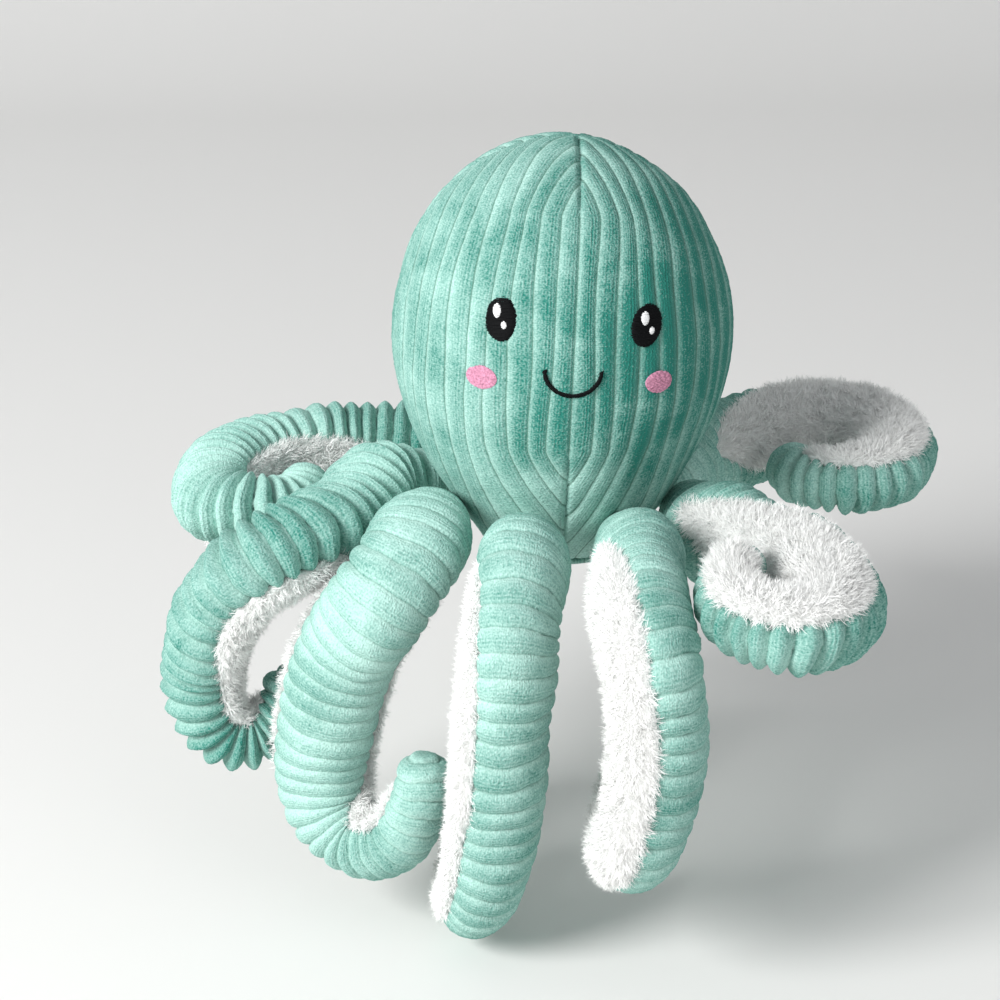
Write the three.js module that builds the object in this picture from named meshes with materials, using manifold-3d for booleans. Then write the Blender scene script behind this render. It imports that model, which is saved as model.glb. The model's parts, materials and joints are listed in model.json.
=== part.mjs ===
// Plush octopus, sitting with its front arms hanging over an edge.
// Millimetres, +Z up, the face looks along -Y, and z = 0 is the underside of the base disc.
import * as THREE from 'three';
import Module from 'manifold-3d';
import { mergeVertices } from 'three/addons/utils/BufferGeometryUtils.js';

const wasm = await Module();
wasm.setup();

// Cloth, thread and clearances
const CLOTH = 2.4; // ribbed velour with its backing, also the pile's woven base
const THREAD = 1.1; // raised embroidery
const GAP = 0.35; // clearance between pieces that touch
const SEAM_GAP = 0.8; // between the edges of two cloth panels sewn side by side
const OVERRUN = 20; // how far a cutting block passes the cloth

// Head: an egg that narrows to the sewn ring of arms
const HEAD_HEIGHT = 181;
const HEAD_RADIUS = 73;
const HEAD_WIDEST_HEIGHT = 97;
const NECK_RADIUS = 32;
const FLARE_SHARE = 0.64; // how soon the head widens above its base
const HEAD_LEAN = 7; // how far the crown is pushed to the toy's left, +X
const LEAN_START_HEIGHT = 45;
const SIDE_SEAM_BACK = 6; // the side seam runs this far behind the crown
const ARM_COUNT = 8;
const HEAD_SIDES = 3 * ARM_COUNT; // so that a line of corners meets every arm
const RINGS_TO_ROOTS = 2; // of corners, from the base up to the sewn roots
const RINGS_TO_WIDEST = 4;
const RINGS_TO_CROWN = 5;
const BASE_THICKNESS = 2.6;

// Arms: equal limbs sewn round the neck
const FIRST_ARM_AZIMUTH = -155; // degrees from the face, toward +X
const ARM_LENGTH = 270; // along the middle, root to tip
const ROOT_RADIUS = 15;
const ROOT_SEAM_HEIGHT = 26; // where a root touches the head
const ARM_HALF_WIDTH = 21;
const ARM_TOP_DEPTH = 18.5; // middle line to the ribbed side
const ARM_BELLY_DEPTH = 16; // middle line to the fluffy side
const TIP_RADIUS = 11.5;
const SWELL_END_SHARE = 0.16;
const TAPER_START_SHARE = 0.45;

// The fluffy strip: a leaf shape down the inner side of each arm
const STRIP_START_SHARE = 0.07;
const STRIP_END_SHARE = 0.93;
const STRIP_HALF_ANGLE = 64; // degrees round the section at its widest

// Faceting of an arm
const BODY_STEPS = 11;
const ROOT_CAP_ANGLES = [28, 56]; // degrees round the open end sewn to the head
const TIP_CAP_ANGLES = [38, 72]; // degrees round the closed end
const TOP_POINTS = 7;
const STRIP_POINTS = 4;
const TURN_WEIGHT_SHARE = 0.75; // how strongly the steps crowd into the curls
const CURVE_SAMPLES = 240;

// Face: heights above the base and distances round the head
const EYE_HEIGHT = 120;
const FACE_MIDDLE = -2; // the face is sewn this far round from the middle line
const EYE_ACROSS = 30.6;
const EYE_HALF_WIDTH = 6.9;
const EYE_HALF_HEIGHT = 8.4;
const BIG_GLINT = { across: -1.6, up: 3, halfWidth: 1.7, halfHeight: 2.5 };
const SMALL_GLINT = { across: 1.6, up: -2, halfWidth: 1.1, halfHeight: 1.3 };
const CHEEK_HEIGHT = 96;
const CHEEK_ACROSS = 38.4;
const CHEEK_HALF_WIDTH = 7.2;
const CHEEK_HALF_HEIGHT = 5.2;
const MOUTH_HEIGHT = 102; // of its two corners
const MOUTH_HALF_WIDTH = 11.5;
const MOUTH_DROP = 10.2;
const MOUTH_STROKE = 1.5;
const MOUTH_STEPS = 10;
const PATCH_SIDES = 14;
const GLINT_SIDES = 8;

// Routes of the eight arms, as shares of ARM_LENGTH from each root, with the way the
// fluffy side faces there: x, y, z of the place, then x, y, z of that direction.
const ROUTE_SHARES = [
  [ // lies behind on the toy's right and loops back towards the front
    [0, 0, 0, -0.2, -0.2, -1],
    [-0.055, 0.065, 0.005, -0.2, -0.3, -0.9],
    [-0.145, 0.085, 0, 0, -0.6, -0.8],
    [-0.265, 0.08, 0, 0, -0.75, -0.65],
    [-0.38, 0.035, 0, 0.5, -0.6, -0.65],
    [-0.455, -0.05, 0, 0.75, -0.1, -0.65],
    [-0.473, -0.135, 0, 0.7, 0.2, -0.65],
    [-0.451, -0.19, 0, 0.5, 0.5, -0.7],
    [-0.397, -0.213, 0, 0, 0.7, -0.7],
    [-0.344, -0.191, -0.005, -0.5, 0.5, -0.7],
    [-0.322, -0.137, -0.005, -0.7, 0.1, -0.7],
    [-0.32, -0.08, -0.01, -0.7, -0.2, -0.7],
  ],
  [ // crosses the seat and hooks down over the edge on the toy's right
    [0, 0, 0, 0, 0, -1],
    [-0.08, -0.05, 0.015, 0.1, -0.1, -1],
    [-0.135, -0.145, 0.005, 0.2, -0.2, -1],
    [-0.2, -0.22, 0, 0.3, -0.2, -0.9],
    [-0.275, -0.25, -0.03, 0.4, -0.2, -0.9],
    [-0.34, -0.225, -0.11, 0.8, -0.3, -0.5],
    [-0.375, -0.195, -0.225, 0.95, 0, -0.1],
    [-0.37, -0.195, -0.295, 0.85, 0, 0.4],
    [-0.34, -0.195, -0.345, 0.4, 0, 0.9],
    [-0.29, -0.19, -0.355, -0.2, 0, 0.95],
    [-0.245, -0.175, -0.315, -0.7, 0, 0.6],
    [-0.225, -0.155, -0.25, -0.9, 0, 0.3],
  ],
  [ // hangs down and hooks up towards the middle
    [0, 0, 0, 0, 0.1, -1],
    [-0.015, -0.06, 0.015, 0.1, 0.3, -1],
    [-0.045, -0.135, 0, 0.2, 0.6, -0.8],
    [-0.1, -0.17, -0.065, 0.35, 0.85, -0.4],
    [-0.145, -0.145, -0.15, 0.4, 0.9, -0.15],
    [-0.175, -0.12, -0.265, 0.45, 0.88, -0.05],
    [-0.19, -0.11, -0.355, 0.55, 0.8, 0.15],
    [-0.185, -0.115, -0.435, 0.6, 0.6, 0.5],
    [-0.14, -0.145, -0.485, 0.3, 0.6, 0.8],
    [-0.075, -0.19, -0.465, -0.3, 0.65, 0.7],
    [-0.035, -0.22, -0.38, -0.6, 0.7, 0.3],
    [-0.03, -0.215, -0.295, -0.65, 0.7, 0.2],
  ],
  [ // hangs straight down in front, its tip curled back
    [0, 0, 0, -0.7, 0.1, -0.7],
    [0, -0.06, 0.015, -0.92, 0.1, -0.35],
    [-0.01, -0.125, -0.005, -0.95, 0.2, -0.2],
    [-0.025, -0.18, -0.07, -0.94, 0.28, -0.1],
    [-0.035, -0.195, -0.18, -0.92, 0.36, 0],
    [-0.045, -0.19, -0.32, -0.9, 0.42, 0],
    [-0.055, -0.18, -0.435, -0.8, 0.58, 0.1],
    [-0.07, -0.155, -0.515, -0.78, 0.42, 0.4],
    [-0.08, -0.1, -0.565, -0.8, 0.1, 0.6],
    [-0.08, -0.03, -0.555, -0.8, -0.3, 0.5],
    [-0.075, 0.025, -0.505, -0.8, -0.5, 0.2],
    [-0.07, 0.045, -0.44, -0.8, -0.6, 0],
  ],
  [ // hangs straight down beside it, its tip curled back
    [0, 0, 0, -0.9, 0, 0.35],
    [0, -0.065, 0.015, -0.9, 0, 0.4],
    [-0.01, -0.185, 0.01, -0.92, 0.05, 0.38],
    [-0.01, -0.28, -0.01, -0.95, -0.05, 0.3],
    [0, -0.33, -0.055, -0.97, -0.18, 0.15],
    [0.01, -0.34, -0.145, -0.98, -0.18, 0],
    [0.005, -0.33, -0.255, -0.98, -0.15, 0],
    [-0.01, -0.315, -0.345, -0.98, -0.1, -0.1],
    [-0.02, -0.25, -0.405, -0.98, 0, 0.15],
    [-0.015, -0.17, -0.395, -0.95, 0.1, 0.2],
    [-0.005, -0.13, -0.34, -0.9, -0.2, 0.3],
    [0.005, -0.125, -0.265, -0.9, -0.4, 0.1],
  ],
  [ // lies on its ribbed side at the front, its tip raised over the loop
    [0, 0, 0, -0.6, -0.4, 0.5],
    [0.02, -0.075, 0.005, -0.6, -0.4, 0.55],
    [0.07, -0.155, 0.005, -0.6, -0.4, 0.65],
    [0.125, -0.225, 0.005, -0.55, -0.35, 0.75],
    [0.145, -0.31, 0.005, -0.5, -0.1, 0.85],
    [0.151, -0.408, 0.005, -0.35, 0.1, 0.95],
    [0.129, -0.461, 0.005, -0.15, 0.2, 1],
    [0.077, -0.484, 0.005, 0, 0.2, 1],
    [0.024, -0.462, 0.01, 0.2, 0.1, 0.95],
    [0.002, -0.41, 0.02, 0.15, -0.1, 0.95],
    [0.01, -0.35, 0.03, -0.1, -0.4, 0.9],
    [0.045, -0.3, 0.035, -0.3, -0.6, 0.75],
  ],
  [ // lies on its ribbed side at the back
    [0, 0, 0, 0.7, -0.5, 0.45],
    [0.045, 0.08, 0.005, 0.65, -0.6, 0.5],
    [0.11, 0.15, 0, 0.5, -0.7, 0.55],
    [0.195, 0.21, 0, 0.2, -0.7, 0.65],
    [0.285, 0.23, 0, -0.1, -0.6, 0.75],
    [0.36, 0.185, 0, -0.4, -0.3, 0.85],
    [0.385, 0.09, 0, -0.3, 0, 1],
    [0.35, 0, 0, -0.1, 0.2, 1],
    [0.275, -0.04, 0, 0, 0.2, 1],
    [0.215, -0.01, 0, 0.2, 0.1, 1],
    [0.2, 0.06, 0, 0.2, -0.1, 1],
  ],
  [ // lies behind the head, curled on its fluffy side
    [0, 0, 0, 0, 0, -1],
    [-0.03, 0.095, 0.01, 0.2, 0, -1],
    [-0.08, 0.21, 0.005, 0.5, 0, -0.9],
    [-0.075, 0.335, 0.005, 0.6, -0.2, -0.8],
    [-0.005, 0.435, 0.005, 0.4, -0.6, -0.7],
    [0.095, 0.445, 0.005, -0.2, -0.7, -0.7],
    [0.17, 0.37, 0.005, -0.7, -0.1, -0.7],
    [0.15, 0.275, 0, -0.5, 0.5, -0.7],
    [0.08, 0.245, -0.005, 0, 0.7, -0.7],
  ],
];

const COLOURS = {
  velour: 0x9bd0c5,
  fluff: 0xf6f8f6,
  filling: 0xe9e9e4,
  black: 0x191f23,
  pink: 0xe8a0c4,
  white: 0xf4f4f2,
};

const octopus = new THREE.Group();

function addPiece(name, geometry, colour, parent = octopus) {
  const material = new THREE.MeshStandardMaterial({ color: colour, roughness: 0.95, metalness: 0 });
  const mesh = new THREE.Mesh(geometry, material);
  mesh.name = name;
  parent.add(mesh);
  return mesh;
}

const radians = THREE.MathUtils.degToRad;

const smooth = (value) => THREE.MathUtils.smoothstep(value, 0, 1);

// Evenly spread values from one to another.
function spread(from, to, count) {
  return Array.from({ length: count }, (_, i) => from + (to - from) * i / (count - 1));
}

function geometryFrom(points, faces) {
  const geometry = new THREE.BufferGeometry();
  geometry.setAttribute('position', new THREE.Float32BufferAttribute(points.flatMap((p) => [p.x, p.y, p.z]), 3));
  geometry.setIndex(faces.flat());
  return geometry;
}

// Signed volume of a closed mesh: negative when its faces point in.
function volumeOf(points, faces) {
  const cross = new THREE.Vector3();
  return faces.reduce((sum, [a, b, c]) => sum + points[a].dot(cross.crossVectors(points[b], points[c])), 0);
}

// Closed body through section loops of equal point count. A loop is convex, or, where
// folded, runs out along one side and back along the other. Cells are split along one
// diagonal, or, on the way back and at crossed folds, along the other, so that the two
// sides of a cloth run parallel, and so do the edges that meet at a seam.
function loft(sections, folded = false, crossFolds = false) {
  const count = sections[0].length;
  const points = sections.flat();
  const faces = [];
  for (let ring = 0; ring < sections.length - 1; ring += 1) {
    for (let i = 0; i < count; i += 1) {
      const a = ring * count + i;
      const b = ring * count + (i + 1) % count;
      const atFold = i === count / 2 - 1 || i === count - 1;
      const wayBack = folded && i >= count / 2;
      if (atFold ? crossFolds : wayBack) {
        faces.push([a, b, a + count], [b, b + count, a + count]);
      } else {
        faces.push([a, b, b + count], [a, b + count, a + count]);
      }
    }
  }
  const last = (sections.length - 1) * count;
  const cap = folded
    ? Array.from({ length: count / 2 - 1 }, (_, i) => [
      [i, count - 1 - i, count - 2 - i],
      [i, count - 2 - i, i + 1],
    ]).flat()
    : Array.from({ length: count - 2 }, (_, i) => [0, i + 2, i + 1]);
  cap.forEach(([a, b, c]) => faces.push([a, b, c], [last + c, last + b, last + a]));
  if (volumeOf(points, faces) < 0) faces.forEach((face) => face.reverse());
  return geometryFrom(points, faces);
}

// Head

// Radius of the head at a height.
function headRadius(height) {
  if (height >= HEAD_WIDEST_HEIGHT) {
    const rise = (height - HEAD_WIDEST_HEIGHT) / (HEAD_HEIGHT - HEAD_WIDEST_HEIGHT);
    return HEAD_RADIUS * Math.sqrt(Math.max(0, 1 - rise ** 2));
  }
  const flare = smooth((height / HEAD_WIDEST_HEIGHT) ** FLARE_SHARE);
  return NECK_RADIUS + (HEAD_RADIUS - NECK_RADIUS) * flare;
}

// Outward direction of the head's profile at a height, as radius and height.
function headNormal(height) {
  const step = CLOTH;
  const rise = headRadius(height + step) - headRadius(height - step);
  return new THREE.Vector2(2 * step, -rise).normalize();
}

// Bends the upright head so that its crown leans.
function leaned(point) {
  const span = HEAD_HEIGHT - LEAN_START_HEIGHT;
  const rise = Math.max(0, (point.z - LEAN_START_HEIGHT) / span);
  const tilt = 2 * HEAD_LEAN * rise / span;
  return new THREE.Vector3(point.x + HEAD_LEAN * rise ** 2, point.y, point.z - point.x * tilt);
}

// Profile from the base up to the crown, drawn in from the head's surface.
function headProfile(inset, bottom) {
  const heights = [
    ...spread(bottom, ROOT_SEAM_HEIGHT, RINGS_TO_ROOTS + 1),
    ...spread(ROOT_SEAM_HEIGHT, HEAD_WIDEST_HEIGHT, RINGS_TO_WIDEST + 1).slice(1),
  ];
  const points = heights.map((height) => {
    const normal = headNormal(height);
    const lift = height === bottom ? 0 : -inset * normal.y;
    return new THREE.Vector2(headRadius(height) - inset * normal.x, height + lift);
  });
  const reach = HEAD_RADIUS - inset;
  const crown = HEAD_HEIGHT - HEAD_WIDEST_HEIGHT - inset;
  for (let i = 1; i <= RINGS_TO_CROWN; i += 1) {
    const turn = Math.PI / 2 * i / RINGS_TO_CROWN;
    const radius = i === RINGS_TO_CROWN ? 0 : reach * Math.cos(turn);
    points.push(new THREE.Vector2(radius, HEAD_WIDEST_HEIGHT + crown * Math.sin(turn)));
  }
  return points;
}

// Turns a profile about +Z, as a merged mesh without its collapsed triangles.
function turned(profile) {
  const lathe = new THREE.LatheGeometry(profile, HEAD_SIDES, radians(FIRST_ARM_AZIMUTH));
  lathe.rotateX(Math.PI / 2);
  lathe.deleteAttribute('normal');
  lathe.deleteAttribute('uv');
  const merged = mergeVertices(lathe, GAP / 10);
  const place = merged.getAttribute('position');
  const points = Array.from({ length: place.count }, (_, i) => new THREE.Vector3().fromBufferAttribute(place, i));
  const index = Array.from(merged.getIndex().array);
  const faces = [];
  for (let i = 0; i < index.length; i += 3) {
    const [a, b, c] = index.slice(i, i + 3);
    if (a !== b && b !== c && c !== a) faces.push([a, b, c]);
  }
  if (volumeOf(points, faces) < 0) faces.forEach((face) => face.reverse());
  return geometryFrom(points, faces);
}

function solidOf(geometry) {
  const merged = mergeVertices(geometry, GAP / 10);
  return new wasm.Manifold(new wasm.Mesh({
    numProp: 3,
    vertProperties: new Float32Array(merged.getAttribute('position').array),
    triVerts: new Uint32Array(merged.getIndex().array),
  }));
}

function geometryOf(solid) {
  const mesh = solid.getMesh();
  const geometry = new THREE.BufferGeometry();
  geometry.setAttribute('position', new THREE.BufferAttribute(mesh.vertProperties, 3));
  geometry.setIndex(new THREE.BufferAttribute(mesh.triVerts, 1));
  return geometry;
}

function leanGeometry(geometry) {
  const place = geometry.getAttribute('position');
  for (let i = 0; i < place.count; i += 1) {
    const point = leaned(new THREE.Vector3().fromBufferAttribute(place, i));
    place.setXYZ(i, point.x, point.y, point.z);
  }
  return geometry;
}

// A box long and tall enough for the head, from a front face at y back to a rear face.
function seamBlock(frontFace, rearFace) {
  const side = 2 * (HEAD_RADIUS + OVERRUN);
  const block = new THREE.BoxGeometry(side, rearFace - frontFace, 2 * (HEAD_HEIGHT + OVERRUN));
  block.translate(0, (frontFace + rearFace) / 2, 0);
  block.deleteAttribute('normal');
  block.deleteAttribute('uv');
  return solidOf(block);
}

function addHead() {
  const bottom = BASE_THICKNESS + GAP;
  const outside = headProfile(0, bottom);
  const inside = headProfile(CLOTH, bottom);
  const cloth = solidOf(turned([...inside.slice().reverse(), ...outside]));
  const reach = HEAD_RADIUS + OVERRUN;
  const front = cloth.intersect(seamBlock(-reach, SIDE_SEAM_BACK - GAP / 2));
  const back = cloth.intersect(seamBlock(SIDE_SEAM_BACK + GAP / 2, reach));
  addPiece('head_front_panel', leanGeometry(geometryOf(front)), COLOURS.velour);
  addPiece('head_back_panel', leanGeometry(geometryOf(back)), COLOURS.velour);

  const core = headProfile(CLOTH + GAP, bottom);
  const filling = turned([new THREE.Vector2(0, bottom), ...core]);
  addPiece('head_filling', leanGeometry(filling), COLOURS.filling);

  const baseRadius = headRadius(BASE_THICKNESS);
  const disc = turned([
    new THREE.Vector2(0, 0),
    new THREE.Vector2(baseRadius, 0),
    new THREE.Vector2(baseRadius, BASE_THICKNESS),
    new THREE.Vector2(0, BASE_THICKNESS),
  ]);
  addPiece('head_base_disc', disc, COLOURS.velour);
}

// Face

// A place on the head's surface, raised by an offset; across is measured round the head.
function onHead(across, height, offset) {
  const radius = headRadius(height);
  const azimuth = across / radius;
  const normal = headNormal(height);
  const reach = radius + offset * normal.x;
  const place = new THREE.Vector3(
    reach * Math.sin(azimuth),
    -reach * Math.cos(azimuth),
    height + offset * normal.y,
  );
  return leaned(place);
}

// An oval of raised stitches: flat rim, slightly crowned middle.
function addPatch(name, oval, sides, base, colour) {
  const rim = (offset) => Array.from({ length: sides }, (_, i) => {
    const turn = 2 * Math.PI * i / sides;
    return onHead(
      oval.across + oval.halfWidth * Math.cos(turn),
      oval.height + oval.halfHeight * Math.sin(turn),
      offset,
    );
  });
  const middle = (offset) => onHead(oval.across, oval.height, offset);
  const points = [...rim(base), ...rim(base + THREAD), middle(base), middle(base + THREAD)];
  const faces = [];
  for (let i = 0; i < sides; i += 1) {
    const next = (i + 1) % sides;
    faces.push([i, next, sides + next], [i, sides + next, sides + i]);
    faces.push([2 * sides, next, i], [2 * sides + 1, sides + i, sides + next]);
  }
  if (volumeOf(points, faces) < 0) faces.forEach((face) => face.reverse());
  addPiece(name, geometryFrom(points, faces), colour);
}

function addFace() {
  for (const [side, sign] of [['right', -1], ['left', 1]]) {
    const eye = {
      across: FACE_MIDDLE + sign * EYE_ACROSS,
      height: EYE_HEIGHT,
      halfWidth: EYE_HALF_WIDTH,
      halfHeight: EYE_HALF_HEIGHT,
    };
    addPatch(`eye_${side}`, eye, PATCH_SIDES, GAP, COLOURS.black);
    const cheek = {
      across: FACE_MIDDLE + sign * CHEEK_ACROSS,
      height: CHEEK_HEIGHT,
      halfWidth: CHEEK_HALF_WIDTH,
      halfHeight: CHEEK_HALF_HEIGHT,
    };
    addPatch(`cheek_${side}`, cheek, PATCH_SIDES, GAP, COLOURS.pink);
    for (const [size, glint] of [['big', BIG_GLINT], ['small', SMALL_GLINT]]) {
      const spot = { ...glint, across: eye.across + glint.across, height: eye.height + glint.up };
      addPatch(`eye_glint_${size}_${side}`, spot, GLINT_SIDES, 2 * GAP + THREAD, COLOURS.white);
    }
  }
  addMouth();
}

// The smile: one stroke along the lower half of an ellipse.
function addMouth() {
  const sections = [];
  for (let i = 0; i <= MOUTH_STEPS; i += 1) {
    const turn = Math.PI * i / MOUTH_STEPS;
    const edge = (half, offset) => onHead(
      FACE_MIDDLE - (MOUTH_HALF_WIDTH + half) * Math.cos(turn),
      MOUTH_HEIGHT - (MOUTH_DROP + half) * Math.sin(turn),
      offset,
    );
    const half = MOUTH_STROKE / 2;
    sections.push([edge(-half, GAP), edge(half, GAP), edge(half, GAP + THREAD), edge(-half, GAP + THREAD)]);
  }
  addPiece('mouth', loft(sections), COLOURS.black);
}

// Arms

// Half sizes of an arm's section at a distance along it, before its ends are rounded.
function armSizes(distance) {
  const share = distance / ARM_LENGTH;
  const swell = smooth(share / SWELL_END_SHARE);
  const taper = smooth((share - TAPER_START_SHARE) / (1 - TAPER_START_SHARE));
  const size = (full) => {
    const swollen = ROOT_RADIUS + (full - ROOT_RADIUS) * swell;
    return swollen + (TIP_RADIUS - swollen) * taper;
  };
  return { side: size(ARM_HALF_WIDTH), top: size(ARM_TOP_DEPTH), belly: size(ARM_BELLY_DEPTH) };
}

// Half angle of the fluffy strip round the section, nought outside the leaf.
function stripHalfAngle(share) {
  const along = (share - STRIP_START_SHARE) / (STRIP_END_SHARE - STRIP_START_SHARE);
  if (along <= 0 || along >= 1) return 0;
  return radians(STRIP_HALF_ANGLE) * Math.min(1, Math.sin(Math.PI * along) ** 0.6);
}

// The route as a curve, with the fluffy side's direction at the same points. The root is
// turned a little, so that one of its lines of corners meets the head.
function armRoute(rows, root, toHead) {
  const places = rows.map(([x, y, z]) => new THREE.Vector3(x, y, z).multiplyScalar(ARM_LENGTH).add(root));
  const facings = rows.map((row) => new THREE.Vector3(...row.slice(3)).normalize());
  const curve = new THREE.CatmullRomCurve3(places, false, 'centripetal');
  const tangent = curve.getTangentAt(0);
  const flat = (direction) => direction.clone().projectOnPlane(tangent).normalize();
  const belly = flat(facings[0]);
  const seen = flat(toHead);
  const angle = Math.atan2(tangent.dot(belly.clone().cross(seen)), belly.dot(seen));
  const corner = 2 * Math.PI / (TOP_POINTS - 1);
  facings[0] = belly.applyAxisAngle(tangent, angle - Math.round(angle / corner) * corner);
  const facing = new THREE.CatmullRomCurve3(facings, false, 'catmullrom');
  return { curve, facing };
}

// Distances along the route at which sections stand: they crowd where it turns.
function bodyDistances(curve, start, end) {
  const length = curve.getLength();
  const tangents = Array.from({ length: CURVE_SAMPLES + 1 }, (_, i) => (
    curve.getTangentAt((start + (end - start) * i / CURVE_SAMPLES) / length)
  ));
  const turns = tangents.map((tangent, i) => (i ? tangent.angleTo(tangents[i - 1]) : 0));
  const total = turns.reduce((sum, turn) => sum + turn, 0);
  const weights = [];
  turns.reduce((sum, turn, i) => {
    const even = i ? (1 - TURN_WEIGHT_SHARE) / CURVE_SAMPLES : 0;
    weights.push(sum + even + TURN_WEIGHT_SHARE * turn / total);
    return weights[i];
  }, 0);
  return Array.from({ length: BODY_STEPS + 1 }, (_, step) => {
    const sample = weights.findIndex((weight) => weight >= step / BODY_STEPS * weights.at(-1));
    return start + (end - start) * Math.max(0, sample) / CURVE_SAMPLES;
  });
}

// Sections of an arm: place, directions, half sizes and the turn round a rounded end.
function armStations(rows, root, toHead) {
  const { curve, facing } = armRoute(rows, root, toHead);
  const length = curve.getLength();
  const tipStart = length - TIP_RADIUS;
  const station = (distance, capTurn, capRadius) => {
    const along = distance / length;
    const tangent = curve.getTangentAt(along);
    const belly = facing.getPoint(curve.getUtoTmapping(along));
    belly.addScaledVector(tangent, -belly.dot(tangent)).normalize();
    const side = new THREE.Vector3().crossVectors(tangent, belly);
    const sizes = armSizes(along * ARM_LENGTH);
    const share = (distance + capRadius * Math.sin(capTurn)) / length;
    return { place: curve.getPointAt(along), tangent, belly, side, sizes, share, capTurn, capRadius };
  };
  return [
    ...ROOT_CAP_ANGLES.toReversed().map((turn) => station(0, -radians(turn), ROOT_RADIUS)),
    ...bodyDistances(curve, 0, tipStart).map((distance) => station(distance, 0, 0)),
    ...TIP_CAP_ANGLES.map((turn) => station(tipStart, radians(turn), TIP_RADIUS)),
  ];
}

// A point of a section at an angle from the middle of the fluffy side, drawn in by an inset.
function sectionPoint(station, angle, inset) {
  const { capTurn, capRadius, sizes } = station;
  const depth = Math.cos(angle) > 0 ? sizes.belly : sizes.top;
  return station.place.clone()
    .addScaledVector(station.tangent, capTurn ? (capRadius - inset) * Math.sin(capTurn) : 0)
    .addScaledVector(station.belly, (depth - inset) * Math.cos(angle) * Math.cos(capTurn))
    .addScaledVector(station.side, (sizes.side - inset) * Math.sin(angle) * Math.cos(capTurn));
}

// Section loop of a cloth panel: its inner side out, its outer side back, and both of its
// edges held back from the seams.
function panelLoop(station, angles, slit) {
  const held = [angles[0] + slit, ...angles.slice(1, -1), angles.at(-1) - slit];
  return [
    ...held.map((angle) => sectionPoint(station, angle, CLOTH)),
    ...held.toReversed().map((angle) => sectionPoint(station, angle, 0)),
  ];
}

function addArm(index) {
  const azimuth = radians(FIRST_ARM_AZIMUTH + 360 / ARM_COUNT * index);
  const radius = headRadius(ROOT_SEAM_HEIGHT);
  const { x: outward, y: upward } = headNormal(ROOT_SEAM_HEIGHT);
  const normal = new THREE.Vector3(outward * Math.sin(azimuth), -outward * Math.cos(azimuth), upward);
  const seam = new THREE.Vector3(radius * Math.sin(azimuth), -radius * Math.cos(azimuth), ROOT_SEAM_HEIGHT);
  const root = seam.addScaledVector(normal, ROOT_RADIUS + GAP);
  const stations = armStations(ROUTE_SHARES[index], root, normal.negate());
  const slit = (station) => SEAM_GAP / 2 / (station.sizes.belly - CLOTH);
  const halfStrip = (station) => Math.max(stripHalfAngle(station.share), slit(station));
  const full = 2 * Math.PI;

  const topAngles = (station) => spread(halfStrip(station), full - halfStrip(station), TOP_POINTS);
  const stripAngles = (station) => spread(-halfStrip(station), halfStrip(station), STRIP_POINTS);
  const top = stations.map((station) => panelLoop(station, topAngles(station), slit(station)));
  const strip = stations
    .filter((station) => stripHalfAngle(station.share) > 2 * slit(station))
    .map((station) => panelLoop(station, stripAngles(station), slit(station)));
  const filling = stations.map((station) => [
    ...topAngles(station),
    ...stripAngles(station).slice(1, -1),
  ].map((angle) => sectionPoint(station, angle, CLOTH + GAP)));

  const name = `arm_${index + 1}`;
  addPiece(`${name}_top`, loft(top, true), COLOURS.velour);
  addPiece(`${name}_belly`, loft(strip, true, true), COLOURS.fluff);
  addPiece(`${name}_filling`, loft(filling), COLOURS.filling);
}

addHead();
addFace();
for (let index = 0; index < ARM_COUNT; index += 1) addArm(index);

export default octopus;
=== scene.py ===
import json
import math

import bmesh
import bpy
import numpy as np
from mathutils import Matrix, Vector

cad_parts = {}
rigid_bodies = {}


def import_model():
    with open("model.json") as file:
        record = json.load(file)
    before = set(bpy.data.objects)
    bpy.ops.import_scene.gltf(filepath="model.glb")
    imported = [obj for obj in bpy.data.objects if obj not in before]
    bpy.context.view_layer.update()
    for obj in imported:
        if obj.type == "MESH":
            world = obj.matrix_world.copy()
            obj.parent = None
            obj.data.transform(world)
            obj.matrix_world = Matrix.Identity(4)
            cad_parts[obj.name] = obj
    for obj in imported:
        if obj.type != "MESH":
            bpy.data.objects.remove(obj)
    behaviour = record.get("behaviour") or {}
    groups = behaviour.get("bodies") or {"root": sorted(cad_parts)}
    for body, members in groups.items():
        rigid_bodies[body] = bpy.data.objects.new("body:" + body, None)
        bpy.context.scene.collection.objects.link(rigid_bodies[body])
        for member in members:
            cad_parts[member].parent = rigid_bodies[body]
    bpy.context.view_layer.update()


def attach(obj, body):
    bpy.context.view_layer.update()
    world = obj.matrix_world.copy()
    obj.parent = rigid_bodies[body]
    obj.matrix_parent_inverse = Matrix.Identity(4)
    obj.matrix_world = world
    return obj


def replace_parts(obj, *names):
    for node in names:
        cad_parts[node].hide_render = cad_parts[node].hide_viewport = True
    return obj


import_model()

# Camera: a little to the toy's right and 1.1 metres in front of it, looking down on it.
PHOTO_PITCH, PHOTO_HEADING = 21.1, 3.61
PHOTO_PLACE, PHOTO_LENS = (-0.0965, -1.118, 0.451), 97.9
photo_lens = bpy.data.cameras.new("photo camera")
photo_lens.sensor_width = 36
photo_lens.lens = PHOTO_LENS
photo_camera = bpy.data.objects.new("photo camera", photo_lens)
photo_camera.location = PHOTO_PLACE
photo_camera.rotation_euler = (math.radians(90 - PHOTO_PITCH), 0, math.radians(-PHOTO_HEADING))
bpy.context.scene.collection.objects.link(photo_camera)
bpy.context.scene.camera = photo_camera


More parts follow.
